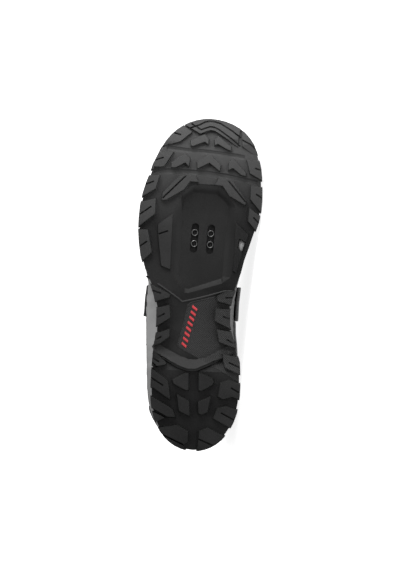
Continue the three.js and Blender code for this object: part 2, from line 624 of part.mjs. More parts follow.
// The throat: an opening in the crown from the collar to the vamp.
function throatCorners(margin) {
  const ridgeAt = (at) => formAt.ridge(at);
  const half = (at) => {
    const share = THREE.MathUtils.clamp((throatFront - at) / (throatFront - 0.42), 0, 1);
    return (throatHalf.front + (throatHalf.back - throatHalf.front) * share + margin) / ballHalf;
  };
  const front = throatFront + (margin * 0.7) / length;
  const round = throatHalf.front / length / 2;
  const back = 0.36;
  return [
    [ridgeAt(back) + half(back), back], [ridgeAt(0.5) + half(0.5), 0.5],
    [ridgeAt(front) + half(front), front - round], [ridgeAt(front) + half(front) / 2, front],
    [ridgeAt(front) - half(front) / 2, front], [ridgeAt(front) - half(front), front - round],
    [ridgeAt(0.5) - half(0.5), 0.5], [ridgeAt(back) - half(back), back],
  ];
}
const throatFloor = ankleHeight;

function makeUpper() {
  const throat = prism(throatCorners(0), throatFloor, skyHigh);
  return form(0).subtract(form(-wall, 3)).subtract(collarCut()).subtract(throat);
}

function makeInsole() {
  const inner = form(-wall - insoleClearance, 1);
  const bed = plate(foamHigh, foamHigh, (at) => footbedHeight(at) + gap,
    (at) => footbedHeight(at) + gap + insoleThickness, 1);
  return bed.intersect(inner);
}

function makeTongue() {
  const outer = form(-wall - gap);
  const inner = form(-wall - gap - tongueThickness, 3);
  const shape = prism(throatCorners(tongueOverlap), throatFloor, skyHigh);
  const tip = sideSlab([[0, 0], [0.385, 0], [0.385, skyHigh], [0, skyHigh]],
    [[0, 0], [0.385, 0], [0.385, skyHigh], [0, skyHigh]], far);
  return outer.subtract(inner).intersect(shape).subtract(tip);
}

// A skin of the upper's own form, between two distances from it.
function skin(near, thickness) {
  return form(near + thickness, 1).subtract(form(near, 3));
}

function aboveFeather() {
  return plate(outline("foamLateral", "foamMedial", { start: -0.1, end: 1.1 }, -3 * strapThickness),
    outline("foamLateral", "foamMedial", { start: -0.1, end: 1.1 }, -3 * strapThickness),
    (at) => footbedHeight(at) + 2 * gap, () => skyHigh, 1);
}

function makeEyestay() {
  const region = prism(throatCorners(eyestayWidth), throatFloor, skyHigh)
    .subtract(prism(throatCorners(0), 0, skyHigh));
  return skin(gap, overlayThickness).intersect(region).subtract(collarCut());
}

function makeStrap() {
  const under = gap + overlayThickness + gap;
  const band = prism([[2, 0.394], [2, 0.487], [-0.3, 0.495], [-2, 0.507], [-2, 0.392], [-0.3, 0.394]], 0, skyHigh);
  const low = strapEnd.height;
  const past = [[0.3, -1], [0.6, -1], [0.6, low - strapEnd.slant], [0.3, low + strapEnd.slant]];
  const outerHalf = prism([[0, 0.3], [2, 0.3], [2, 0.6], [0, 0.6]], -1, low + strapEnd.reach);
  const cut = sideSlab(past, past, far).intersect(outerHalf);
  return skin(under, strapThickness).intersect(aboveFeather()).intersect(band).subtract(cut);
}

function makeToeCap() {
  const top = toeCapHeight;
  const line = [[0.8, 0], [1.1, 0], [1.1, skyHigh], [0.96, skyHigh], [0.935, top], [0.9, 0.846 * top],
    [0.84, 0.654 * top]];
  const region = sideSlab(line, line, far);
  return skin(gap, toeCapThickness).intersect(aboveFeather()).intersect(region);
}

function makeHeelCounter() {
  const top = counterHeight;
  const line = [[-0.1, 0], [0.14, 0], [0.125, 0.514 * top], [0.1, 0.714 * top], [0.06, 0.886 * top], [0.0, top],
    [-0.1, top]];
  const region = sideSlab(line, line, far);
  return skin(gap, overlayThickness).intersect(aboveFeather()).intersect(region);
}

const finishes = {
  rubber: { color: 0x2e2f31, roughness: 0.85, metalness: 0 },
  foam: { color: 0x9fa1a4, roughness: 0.8, metalness: 0 },
  steel: { color: 0x77797c, roughness: 0.4, metalness: 1 },
  mesh: { color: 0x1b1c1e, roughness: 0.95, metalness: 0 },
  synthetic: { color: 0x232427, roughness: 0.6, metalness: 0 },
  lining: { color: 0x3a3c40, roughness: 0.95, metalness: 0 },
};

const pieces = [
  ["outsole", makeOutsole(), "rubber"],
  ["midsole", makeMidsole(), "foam"],
  ["cleat_nut_plate", makeNutPlate(), "steel"],
  ["insole", makeInsole(), "lining"],
  ["upper", makeUpper(), "mesh"],
  ["tongue", makeTongue(), "mesh"],
  ["eyestay", makeEyestay(), "synthetic"],
  ["toe_cap", makeToeCap(), "synthetic"],
  ["heel_counter", makeHeelCounter(), "synthetic"],
  ["instep_strap", makeStrap(), "synthetic"],
];

function meshOf(name, made, finish) {
  const { vertProperties, triVerts, numProp, numVert } = made.getMesh();
  const positions = new Float32Array(numVert * 3);
  for (let i = 0; i < numVert; i++) {
    for (let j = 0; j < 3; j++) positions[3 * i + j] = vertProperties[i * numProp + j];
  }
  const geometry = new THREE.BufferGeometry();
  geometry.setAttribute("position", new THREE.BufferAttribute(positions, 3));
  geometry.setIndex(new THREE.BufferAttribute(new Uint32Array(triVerts), 1));
  geometry.computeVertexNormals();
  const mesh = new THREE.Mesh(geometry, new THREE.MeshStandardMaterial(finishes[finish]));
  mesh.name = name;
  return mesh;
}

// The centre of a set of solids, all of one density.
function centreOf(meshes) {
  const sum = new THREE.Vector3();
  let volume = 0;
  const [a, b, c] = [new THREE.Vector3(), new THREE.Vector3(), new THREE.Vector3()];
  for (const { geometry } of meshes) {
    const { position } = geometry.attributes;
    const { array } = geometry.index;
    for (let i = 0; i < array.length; i += 3) {
      a.fromBufferAttribute(position, array[i]);
      b.fromBufferAttribute(position, array[i + 1]);
      c.fromBufferAttribute(position, array[i + 2]);
      const part = a.dot(b.clone().cross(c)) / 6;
      volume += part;
      sum.addScaledVector(a.clone().add(b).add(c), part / 4);
    }
  }
  return sum.divideScalar(volume);
}

// The turn that lays the shoe on its inner side: the face of its convex hull under its centre goes to the floor.
function restTurn(meshes) {
  const points = [];
  for (const { geometry } of meshes) {
    const { position } = geometry.attributes;
    for (let i = 0; i < position.count; i++) points.push(new THREE.Vector3().fromBufferAttribute(position, i));
  }
  const centre = centreOf(meshes);
  const down = new THREE.Vector3(0, 0, -1);
  let best = null;
  for (const face of new ConvexHull().setFromPoints(points).faces) {
    if (face.normal.dot(down) < 0.8) continue;
    const height = Math.abs(face.distanceToPoint(centre));
    const foot = centre.clone().addScaledVector(face.normal, height);
    const corners = [face.edge.head().point, face.edge.next.head().point, face.edge.prev.head().point];
    const inside = new THREE.Triangle(...corners).closestPointToPoint(foot, new THREE.Vector3());
    const miss = inside.distanceTo(foot);
    if (!best || miss < best.miss) best = { miss, normal: face.normal.clone() };
  }
  return new THREE.Quaternion().setFromUnitVectors(best.normal, down);
}

const shoe = new THREE.Group();
for (const [name, made, finish] of pieces) shoe.add(meshOf(name, made, finish));
shoe.quaternion.copy(restTurn(shoe.children));
shoe.updateMatrixWorld(true);
const bounds = new THREE.Box3().setFromObject(shoe, true);
const middle = bounds.getCenter(new THREE.Vector3());
shoe.position.set(-middle.x, -middle.y, -bounds.min.z);

const part = new THREE.Group();
part.add(shoe);

export default part;
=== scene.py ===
# %% [markdown]
# A cycling shoe lies on its inner side and shows its sole. The solids are already built at their real
# size, so this lesson only dresses them: finer cuts in the tread, soft cloth forms, stitches, and
# materials. Everything below is worked in metres, first in the shoe's own directions and then laid down.

# %% Load the frame
import json
import math

import bpy
from mathutils import Matrix, Quaternion, Vector
from mathutils.bvhtree import BVHTree
from mathutils.kdtree import KDTree


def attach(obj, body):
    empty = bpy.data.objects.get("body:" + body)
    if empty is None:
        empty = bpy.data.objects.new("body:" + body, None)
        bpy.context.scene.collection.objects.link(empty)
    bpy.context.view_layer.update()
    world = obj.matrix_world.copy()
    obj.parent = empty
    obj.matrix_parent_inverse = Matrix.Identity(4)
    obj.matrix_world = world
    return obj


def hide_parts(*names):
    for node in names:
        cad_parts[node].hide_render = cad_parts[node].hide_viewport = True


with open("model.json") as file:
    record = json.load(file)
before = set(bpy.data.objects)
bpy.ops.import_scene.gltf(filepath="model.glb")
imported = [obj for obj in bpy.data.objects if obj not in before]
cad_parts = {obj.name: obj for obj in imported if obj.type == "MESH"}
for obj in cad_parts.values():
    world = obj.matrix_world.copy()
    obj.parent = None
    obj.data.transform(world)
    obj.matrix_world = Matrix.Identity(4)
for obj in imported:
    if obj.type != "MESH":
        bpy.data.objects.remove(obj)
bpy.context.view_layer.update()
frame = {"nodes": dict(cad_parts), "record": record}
nodes = frame["nodes"]
bpy.ops.object.select_all(action="DESELECT")
print("solids in the frame:", sorted(nodes))

# %% [markdown]
# The shoe lies tilted, because its collar is narrower than its sole. It is much easier to model a shoe
# that stands: x to the toe, y up from the ground, z to the outer side. The seat of the cleat in the record
# says which way the sole faces, and from that one direction the whole turn follows.

# %% Find the shoe's own directions
seat = next(m for m in frame["record"]["mounts"] if m["name"] == "cleat_seat")
up = -Vector(seat["axis"])
turn_x = -math.sqrt((1 - up.y) / 2)
turn = Quaternion((up.z / (2 * turn_x), turn_x, up.x / (2 * turn_x), 0))
to_standing = turn.to_matrix().to_4x4().inverted()

OUTER_BALL, INNER_BALL = 1.07, 0.938
corners = [to_standing @ v.co for v in nodes["outsole"].data.vertices]
low = [min(c[i] for c in corners) for i in range(3)]
high = [max(c[i] for c in corners) for i in range(3)]
LENGTH = high[0] - low[0]
BALL = (high[2] - low[2]) / (OUTER_BALL + INNER_BALL)
heel_ground = Vector((low[0], low[1], high[2] - OUTER_BALL * BALL))
stand_up = Matrix.Translation(-heel_ground) @ to_standing
lay_down = stand_up.inverted()
MM = 0.001
print(f"outsole {LENGTH / MM:.1f} mm long, ball half {BALL / MM:.1f} mm")

# %% [markdown]
# A few helpers say in one line what the hands do over and over: copy a solid and weld its loose triangles,
# select just one object, apply a modifier, and hand a finished piece over to the frame.

# %% Helpers for pieces
def select_only(obj):
    bpy.ops.object.select_all(action="DESELECT")
    obj.select_set(True)
    bpy.context.view_layer.objects.active = obj


def edit_all(obj, operation, **settings):
    """Runs one edit mode step on the whole of a mesh."""
    select_only(obj)
    bpy.ops.object.mode_set(mode="EDIT")
    bpy.ops.mesh.select_all(action="SELECT")
    operation(**settings)
    bpy.ops.object.mode_set(mode="OBJECT")


def weld(obj, distance=1e-6):
    edit_all(obj, bpy.ops.mesh.remove_doubles, threshold=distance)


def new_object(name, data):
    obj = bpy.data.objects.new(name, data)
    bpy.context.scene.collection.objects.link(obj)
    return obj


def standing_copy(node, name):
    """A welded copy of a solid, standing, with the shading marks of its facets taken off."""
    obj = new_object(name, nodes[node].data.copy())
    obj.data.transform(stand_up)
    obj.data.materials.clear()
    weld(obj)
    bpy.ops.mesh.customdata_custom_splitnormals_clear()
    edit_all(obj, bpy.ops.mesh.mark_sharp, clear=True)
    return obj


def apply_modifier(obj, kind, **settings):
    select_only(obj)
    modifier = obj.modifiers.new(kind.lower(), kind)
    for key, value in settings.items():
        setattr(modifier, key, value)
    bpy.ops.object.modifier_apply(modifier=modifier.name)


def join(objects, name):
    select_only(objects[0])
    for obj in objects:
        obj.select_set(True)
    bpy.ops.object.join()
    objects[0].name = name
    return objects[0]


def tree_of(obj):
    points = [vertex.co for vertex in obj.data.vertices]
    return BVHTree.FromPolygons(points, [list(face.vertices) for face in obj.data.polygons])


def settle(obj):
    """Applies the object's own place and turn to its mesh."""
    select_only(obj)
    bpy.ops.object.transform_apply(location=True, rotation=True, scale=True)


def finish_piece(obj, materials, slot, *replaced, angle=35):
    """Lays a piece down, gives it its materials and hides the solids that it stands for. The slot is not
    used.
    """
    settle(obj)
    bpy.ops.object.shade_smooth_by_angle(angle=math.radians(angle))
    obj.data.transform(lay_down)
    for material in materials:
        obj.data.materials.append(material)
    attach(obj, "root")
    if replaced:
        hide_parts(*replaced)
    print(obj.name, len(obj.data.polygons), "faces")


# %% [markdown]
# Places on the sole are read from the photograph as shares: along from heel to toe, across from the middle
# line as a share of half the ball's width, the outer side positive. A ray shot up from the ground finds
# how high the rubber is there, so the toe spring and the arch need no second table.

# %% Helpers for places on the sole
outsole = standing_copy("outsole", "tread")
below = tree_of(outsole)
SEARCH = 0.06


def on_sole(across, along, sink=0.0):
    start = Vector((along * LENGTH, -0.01, across * BALL))
    hit = below.ray_cast(start, Vector((0, 1, 0)), SEARCH)[0]
    height = hit.y if hit is not None else 0.0
    return Vector((start.x, height + sink, start.z))


def bar(start, end, width, depth, over=0.0):
    """A straight block from one point to another, its top at the points, running past both ends by over."""
    along = end - start
    middle = (start + end) / 2
    bpy.ops.mesh.primitive_cube_add(size=1, location=(0, 0, 0))
    block = bpy.context.object
    block.scale = (along.length + 2 * over, depth, width)
    settle(block)
    flat = math.atan2(-along.z, along.x)
    pitch = math.atan2(along.y, math.hypot(along.x, along.z))
    block.data.transform(Matrix.Rotation(flat, 4, "Y") @ Matrix.Rotation(pitch, 4, "Z"))
    block.data.transform(Matrix.Translation(middle))
    return block


# %% [markdown]
# Lines that follow the rubber up and down are curves with a round section, drawn through places on the
# sole and turned into meshes. Such a round bar can be added as a moulded line, or taken away as a soft
# groove.

# %% Helper for lines on the sole
LUG_STEP = 2.5 * MM


def on_base(across, along, sink=0.0):
    """A place on the rubber between the lugs, also where a lug stands in the way."""
    here, middle = on_sole(across, along, sink), on_sole(0.0, along, sink)
    if abs(here.y - middle.y) > LUG_STEP:
        here.y = middle.y
    return here


def walk(places, count):
    """Places at even steps along a line of corners."""
    lengths = [math.hypot((a1 - a0) * BALL, (s1 - s0) * LENGTH)
               for (a0, s0), (a1, s1) in zip(places, places[1:])]
    result = []
    for k in range(count + 1):
        rest = sum(lengths) * k / count
        corner = 0
        while corner < len(lengths) - 1 and rest > lengths[corner]:
            rest -= lengths[corner]
            corner += 1
        share = min(1.0, rest / lengths[corner])
        (a0, s0), (a1, s1) = places[corner], places[corner + 1]
        result.append((a0 + (a1 - a0) * share, s0 + (s1 - s0) * share))
    return result


def round_line(places, radius, sink, name, place=on_base):
    route = [place(across, along, sink) for across, along in walk(places, max(4, round(len(places) * 6)))]
    line = bpy.data.curves.new(name, "CURVE")
    line.dimensions = "3D"
    line.bevel_depth = radius
    line.bevel_resolution = 3
    line.use_fill_caps = True
    spline = line.splines.new("POLY")
    spline.points.add(len(route) - 1)
    for point, spot in zip(spline.points, route):
        point.co = (*spot, 1)
    obj = new_object(name, line)
    select_only(obj)
    bpy.ops.object.convert(target="MESH")
    weld(obj)
    return obj


# %% [markdown]
# Sipes are the thin slits that let a lug flex. They are thinner than anything in the solids, so they are
# cut here: each is a narrow block, and one boolean takes them all out of the rubber at once.

# %% Sipes and toe grooves
SIPE_WIDTH = 1.3 * MM
SIPE_DEPTH = 2.2 * MM
# across and along at the start, across and along at the end
SIPES = [
    (0.557, 0.951, 0.451, 0.946), (0.99, 0.855, 0.715, 0.874), (-0.797, 0.8546, -0.93, 0.847),
    (1.06, 0.784, 0.854, 0.801), (0.877, 0.725, 1.1, 0.694), (0.918, 0.62, 1.1, 0.595),
    (-0.833, 0.777, -0.98, 0.761), (-0.809, 0.707, -0.95, 0.681), (0.326, 0.823, 0.69, 0.753),
    (-0.36, 0.815, -0.66, 0.753), (0.82, 0.477, 0.648, 0.468), (0.74, 0.389, 0.572, 0.407),
    (0.74, 0.322, 0.607, 0.338), (-0.42, 0.4635, -0.56, 0.465), (-0.39, 0.407, -0.54, 0.398),
    (-0.472, 0.338, -0.62, 0.325), (0.76, 0.2755, 0.624, 0.263), (0.76, 0.263, 0.65, 0.248),
    (0.76, 0.217, 0.536, 0.193), (-0.525, 0.27, -0.73, 0.255), (-0.58, 0.195, -0.75, 0.179),
    (-0.437, 0.119, -0.68, 0.097), (-0.097, 0.037, -0.33, 0.02), (0.725, 0.645, 0.584, 0.655),
]
TOE_GROOVES = [
    [(0.3, 0.968), (0.14, 0.98), (0.06, 0.989), (-0.02, 0.992), (-0.106, 0.991), (-0.2, 0.986),
     (-0.29, 0.976), (-0.4, 0.964), (-0.53, 0.946)],
    [(0.28, 0.982), (0.117, 0.964), (0.06, 0.969), (-0.023, 0.975), (-0.094, 0.974), (-0.176, 0.967),
     (-0.28, 0.954), (-0.4, 0.939), (-0.53, 0.92)],
    [(-0.5, 0.944), (-0.69, 0.9275), (-0.88, 0.9)],
]
# Two soft grooves run right across the forefoot, where the sole bends
FLEX_LINES = [
    [(0.66, 0.906), (0.3, 0.9), (0, 0.8985), (-0.4, 0.892), (-0.72, 0.884)],
    [(0.86, 0.8345), (0.3, 0.8355), (0, 0.8345), (-0.3, 0.829), (-0.6, 0.82), (-0.84, 0.811)],
]
FLEX_RADIUS = 3.5 * MM
FLEX_DEPTH = 1.1 * MM


def trench(places, width, depth):
    points = [on_sole(across, along) for across, along in places]
    lowest = sum(p.y for p in points) / len(points)
    level = [Vector((p.x, p.y if abs(p.y - lowest) < 4 * MM else lowest, p.z)) for p in points]
    return [bar(a, b, width, 2 * depth, over=width / 4) for a, b in zip(level, level[1:])]


cutters = []
for start_across, start_along, end_across, end_along in SIPES:
    cutters += trench([(start_across, start_along), (end_across, end_along)], SIPE_WIDTH, SIPE_DEPTH)
for groove in TOE_GROOVES:
    cutters += trench(groove, SIPE_WIDTH, SIPE_DEPTH)
for number, line in enumerate(FLEX_LINES):
    cutters.append(round_line(line, FLEX_RADIUS, FLEX_DEPTH - FLEX_RADIUS, f"flex_{number}"))
cutter = join(cutters, "sipe_cutter")
apply_modifier(outsole, "BOOLEAN", operation="DIFFERENCE", solver="EXACT", use_self=True, object=cutter)
bpy.data.objects.remove(cutter)
print("tread with sipes:", len(outsole.data.polygons), "faces")

# %% [markdown]
# Behind the pocket a thin moulded lip runs across the sole, and a fine line frames the textured panel of
# the arch. In front of the heel the sole steps down in a wide V: a soft band that faces the toe, with a
# fine bead along both edges. The band is a grid laid between its two edge lines and given a thickness.

# %% Lip and panel lines
LIP = [(0.9, 0.517), (0.62, 0.486), (0.372, 0.457), (0.29, 0.446), (0.196, 0.45), (-0.02, 0.461),
       (-0.214, 0.472), (-0.39, 0.483), (-0.52, 0.4845)]
PANEL_LINE = [(0.337, 0.314), (0.265, 0.37), (0.21, 0.42), (0.19, 0.438), (0.15, 0.4445), (-0.02, 0.4535),
              (-0.24, 0.4645)]
PANEL_FOOT = [(0.337, 0.314), (0.3, 0.307), (0.15, 0.294), (0.01, 0.281), (-0.155, 0.266), (-0.27, 0.254),
              (-0.5, 0.234), (-0.7, 0.213)]
BREAST_TOE = [(0.72, 0.322), (0.53, 0.302), (0.337, 0.284), (0.149, 0.269), (0.01, 0.269),
              (-0.155, 0.28), (-0.367, 0.3035), (-0.52, 0.322), (-0.62, 0.335)]
BREAST_HEEL = [(0.72, 0.291), (0.53, 0.271), (0.31, 0.25), (0.15, 0.241), (0.01, 0.242),
               (-0.155, 0.256), (-0.27, 0.267), (-0.52, 0.292), (-0.62, 0.303)]
BAND_THICKNESS = 2.5 * MM


def band(toe_line, heel_line, toe_lift, heel_lift, name, columns=60, rows=6):
    """A strip between two lines on the sole, standing proud by a lift at each."""
    bpy.ops.mesh.primitive_grid_add(x_subdivisions=columns, y_subdivisions=rows, size=2)
    obj = bpy.context.object
    obj.name = name
    toe_side, heel_side = walk(toe_line, columns), walk(heel_line, columns)
    for vertex in obj.data.vertices:
        column = round((vertex.co.x + 1) / 2 * columns)
        share = (vertex.co.y + 1) / 2
        a, b = toe_side[column], heel_side[column]
        lift = toe_lift + (heel_lift - toe_lift) * share
        ends = min(1.0, 4 * min(column, columns - column) / columns)
        vertex.co = on_base(a[0] + (b[0] - a[0]) * share, a[1] + (b[1] - a[1]) * share, -lift * ends)
    apply_modifier(obj, "SOLIDIFY", thickness=BAND_THICKNESS, offset=-1)
    edit_all(obj, bpy.ops.mesh.normals_make_consistent, inside=False)
    return obj


sole_lines = join([
    band(BREAST_TOE, BREAST_HEEL, -0.1 * MM, 1.9 * MM, "breast_band"),
    round_line(BREAST_TOE, 0.55 * MM, 0.1 * MM, "breast_toe_bead"),
    round_line(BREAST_HEEL, 0.7 * MM, -1.5 * MM, "breast_heel_bead"),
    round_line(LIP, 0.9 * MM, 0.3 * MM, "pocket_lip"),
    round_line(PANEL_LINE, 0.5 * MM, 0.15 * MM, "panel_line"),
    round_line(PANEL_FOOT, 0.45 * MM, 0.15 * MM, "panel_foot"),
], "sole_lines")

# %% [markdown]
# Two small things repeat near the pocket: a dotted line of moulded pips along each rail, and the threaded
# rims of the four holes for the cleat's screws, which stand in the slots. One pip, one rim and one dark
# end for a hole are modelled, and the rest are copies. The rims sit at the height of the nut plate's
# bosses, which are its lowest points.

# %% Pips and threaded rims
PIP_LINES = [((0.515, 0.735), (0.535, 0.535)), ((-0.535, 0.735), (-0.545, 0.56))]
PIPS = 34
PIP_RADIUS = 0.42 * MM
HOLES_CENTRE = (0.01, 0.6375)
HOLE_GAPS = (9.6 * MM, 14 * MM)
HOLES_TILT = math.radians(1.2)
RIM_RADIUS = 2.55 * MM
RIM_THICKNESS = 0.38 * MM
END_RADIUS = 2.0 * MM
END_DEPTH = 2.4 * MM
END_HEIGHT = 2.6 * MM


def copy_to(master, places, name):
    copies = []
    for place in places:
        twin = new_object(name, master.data.copy())
        twin.data.transform(Matrix.Translation(place))
        copies.append(twin)
    bpy.data.objects.remove(master)
    return join(copies, name)


bpy.ops.mesh.primitive_ico_sphere_add(subdivisions=1, radius=PIP_RADIUS)
pip = bpy.context.object
settle(pip)
pip_places = []
for first, last in PIP_LINES:
    for k in range(PIPS):
        share = k / (PIPS - 1)
        across = first[0] + (last[0] - first[0]) * share
        pip_places.append(on_base(across, first[1] + (last[1] - first[1]) * share))
pips = copy_to(pip, pip_places, "rail_pips")

plate_low = min((stand_up @ v.co).y for v in nodes["cleat_nut_plate"].data.vertices)
FACE_DOWN = (math.pi / 2, 0, 0)
bpy.ops.mesh.primitive_torus_add(major_radius=RIM_RADIUS, minor_radius=RIM_THICKNESS, major_segments=32,
                                 minor_segments=10, rotation=FACE_DOWN)
rim = bpy.context.object
settle(rim)
bpy.ops.mesh.primitive_cylinder_add(radius=END_RADIUS, depth=END_DEPTH, vertices=24, rotation=FACE_DOWN,
                                    location=(0, END_HEIGHT, 0))
bore_end = bpy.context.object
settle(bore_end)
apply_modifier(bore_end, "BEVEL", width=0.2 * MM, segments=2)
hole_places = []
for fore in (-0.5, 0.5):
    for side in (-0.5, 0.5):
        x, z = fore * HOLE_GAPS[0], side * HOLE_GAPS[1]
        hole_places.append(Vector((
            HOLES_CENTRE[1] * LENGTH + x * math.cos(HOLES_TILT) + z * math.sin(HOLES_TILT), plate_low,
            HOLES_CENTRE[0] * BALL + z * math.cos(HOLES_TILT) - x * math.sin(HOLES_TILT))))
rims = copy_to(rim, hole_places, "thread_rims")
bore_ends = copy_to(bore_end, hole_places, "bore_ends")
print("pips", len(pip_places), "rims", len(hole_places), "at height", round(plate_low / MM, 2))

# %% [markdown]
# The arch carries a narrow red mark. On this shoe it is a plain row of slanted bars: one bar is modelled
# from a cube, its edges are bevelled, and the others are copies a fixed step further along the sole.

# %% Red bars on the arch
MARK_START = (0.08, 0.428)
MARK_END = (0.226, 0.316)
BARS = 8
BAR_SIZE = Vector((2.3, 1.0, 5.0)) * MM
BAR_SLANT = math.radians(24)


def mark_bars():
    first, last = on_sole(*MARK_START), on_sole(*MARK_END)
    run = last - first
    heading = math.atan2(-run.z, run.x)
    bars = []
    for k in range(BARS):
        share = k / (BARS - 1)
        place = on_sole(MARK_START[0] + (MARK_END[0] - MARK_START[0]) * share,
                        MARK_START[1] + (MARK_END[1] - MARK_START[1]) * share)
        bpy.ops.mesh.primitive_cube_add(size=1, location=(0, 0, 0))
        block = bpy.context.object
        block.scale = BAR_SIZE
        settle(block)
        apply_modifier(block, "BEVEL", width=0.35 * MM, segments=2)
        for vertex in block.data.vertices:
            vertex.co.x += vertex.co.z * math.tan(BAR_SLANT)
        block.data.transform(Matrix.Rotation(heading, 4, "Y"))
        block.data.transform(Matrix.Translation(place))
        bars.append(block)
    return join(bars, "arch_bars")


bars = mark_bars()

# %% [markdown]
# The rubber between the lugs is painted darker than the lug tops: painted shade in the grooves. Each
# point of the tread remembers how deep it lies below the lugs near it, and the material reads that later.

# %% Depth between the lugs
SHELF = 7 * MM
lowest = {}
for vertex in outsole.data.vertices:
    shelf = round(vertex.co.x / SHELF)
    lowest[shelf] = min(lowest.get(shelf, 1.0), vertex.co.y)
depth = outsole.data.attributes.new("depth", "FLOAT", "POINT")
for vertex in outsole.data.vertices:
    shelf = round(vertex.co.x / SHELF)
    ground = min(lowest.get(near, 1.0) for near in (shelf - 1, shelf, shelf + 1))
    depth.data[vertex.index].value = (vertex.co.y - ground) / MM

# %% [markdown]
# Cloth, foam and padding have no facets. A voxel remesh turns each solid into an even skin, and rounds of
# smoothing take the facets out and round the cut edges, as folded cloth does. A thin skin needs a finer
# voxel, and so more rounds for the same softness. The edge where the upper meets the sole is held still.

# %% Soft forms
HELD_EDGE = 4 * MM


def soften(node, name, voxel, rounds, held=False):
    obj = standing_copy(node, name)
    obj.data.remesh_voxel_size = voxel
    select_only(obj)
    bpy.ops.object.voxel_remesh()
    settings = {}
    if held:
        shelves = {}
        for vertex in obj.data.vertices:
            shelf = round(vertex.co.x / HELD_EDGE)
            shelves[shelf] = min(shelves.get(shelf, 1.0), vertex.co.y)
        free = obj.vertex_groups.new(name="free")
        for vertex in obj.data.vertices:
            rise = vertex.co.y - shelves[round(vertex.co.x / HELD_EDGE)]
            free.add([vertex.index], min(1.0, rise / HELD_EDGE), "REPLACE")
        settings["vertex_group"] = "free"
    apply_modifier(obj, "SMOOTH", factor=0.5, iterations=rounds, **settings)
    obj.vertex_groups.clear()
    return obj


upper = soften("upper", "upper_shell", 1.15 * MM, 22, held=True)
midsole = soften("midsole", "midsole_foam", 1.0 * MM, 12)
insole = soften("insole", "footbed", 1.1 * MM, 3)
tongue = soften("tongue", "tongue_pad", 1.0 * MM, 16)
toe_cap = soften("toe_cap", "toe_guard", 0.8 * MM, 24)
counter = soften("heel_counter", "heel_counter_skin", 0.6 * MM, 70)
eyestay = soften("eyestay", "eyestay_skin", 0.5 * MM, 24)
strap = soften("instep_strap", "strap_band", 0.8 * MM, 10)

# %% [markdown]
# A shoe that has been walked in folds in the same places: across the vamp behind the toes, and at the
# sides under the ankle. Each fold is a soft trough or ridge on a line round the foot, and every layer that
# lies there is moved by the same amount, so that the layers stay nested.

# %% Creases
MIDDLE_HEIGHT = 45 * MM
MIDDLE_SIDE = -0.03 * BALL
# along on top, how far back it bends at the sides, width, depth, first and last degree round the foot
CREASES = [
    (0.745, 0.03, 5.0, 0.9, 15, 165), (0.715, 0.035, 5.5, -0.6, 20, 160), (0.682, 0.04, 5.0, 0.8, 15, 165),
    (0.655, 0.03, 4.0, -0.4, 25, 155), (0.24, 0.05, 7.0, 0.9, -15, 60), (0.2, 0.05, 6.0, -0.5, -15, 55),
    (0.24, 0.05, 7.0, 0.9, 120, 195), (0.2, 0.05, 6.0, -0.5, 125, 195),
]


def around(point):
    """Degrees round the foot: 0 at the outer side, 90 on top, 180 at the inner side."""
    angle = math.degrees(math.atan2(point.y - MIDDLE_HEIGHT, point.z - MIDDLE_SIDE))
    return angle + 360 if angle < -90 else angle


def crease_depth(point):
    angle, total = around(point), 0.0
    for along, bend, width, depth, first, last in CREASES:
        share = (angle - first) / (last - first)
        if 0 < share < 1:
            line = (along - bend * (2 * share - 1) ** 2) * LENGTH
            total += depth * math.sin(math.pi * share) * math.exp(-((point.x - line) / (width * MM)) ** 2)
    return total * MM


def press_creases(obj):
    for vertex in obj.data.vertices:
        depth = crease_depth(vertex.co)
        if depth:
            inward = Vector((0, MIDDLE_HEIGHT - vertex.co.y, MIDDLE_SIDE - vertex.co.z)).normalized()
            vertex.co += inward * depth


for layer in (upper, tongue, eyestay, counter):
    press_creases(layer)

# %% [markdown]
# Smoothing can push the cloth a hair through a skin that is sewn onto it. Each point of the upper that has
# come too near the inside of a skin, or out of it, goes back under it.

# %% Tuck the cloth under its skins
UNDER = 0.2 * MM
NEAR = 1.6 * MM


def tuck_under(cloth, skin, thickness):
    tree, moved = tree_of(skin), 0
    for vertex in cloth.data.vertices:
        nearest, normal, _, _ = tree.find_nearest(vertex.co, NEAR)
        inward = Vector((0, MIDDLE_HEIGHT - vertex.co.y, MIDDLE_SIDE - vertex.co.z))
        if nearest is None or vertex.normal.dot(inward) > 0:
            continue
        if normal.dot(inward) > 0 and (vertex.co - nearest).dot(normal) < UNDER:
            vertex.co = nearest + normal * UNDER
            moved += 1
        elif normal.dot(inward) < 0 and (vertex.co - nearest).dot(normal) > -thickness:
            vertex.co = nearest - normal * (thickness + UNDER)
            moved += 1
    print("points of", cloth.name, "tucked under", skin.name, moved)


# %% [markdown]
# The collar is padded: foam between the mesh and the lining makes a soft roll round the ankle. Rays from
# an upright line through the heel find the collar's edge all the way round, and the wall swells on both
# faces within a finger's width of that edge. The cloth is tucked under its skins once that is done.

# %% Collar padding
ANKLE_ALONG = 0.17
COLLAR_ROLL = 15 * MM
COLLAR_SWELL = 1.6 * MM
THROAT_ALONG = 0.385
THROAT_FADE = 0.06
COLLAR_TOP, COLLAR_LOW = 110, 55
CAP_SKIN = 1.9 * MM
THIN_SKIN = 1.1 * MM


def collar_ring(tree):
    axis = Vector((ANKLE_ALONG * LENGTH, 0, MIDDLE_SIDE))
    ring = []
    for degrees in range(0, 360, 4):
        out = Vector((math.cos(math.radians(degrees)), 0, math.sin(math.radians(degrees))))
        for height in range(COLLAR_TOP, COLLAR_LOW, -1):
            hit = tree.ray_cast(axis + Vector((0, height * MM, 0)), out, 0.4 * LENGTH)[0]
            if hit is not None:
                ring.append(hit)
                break
    return ring


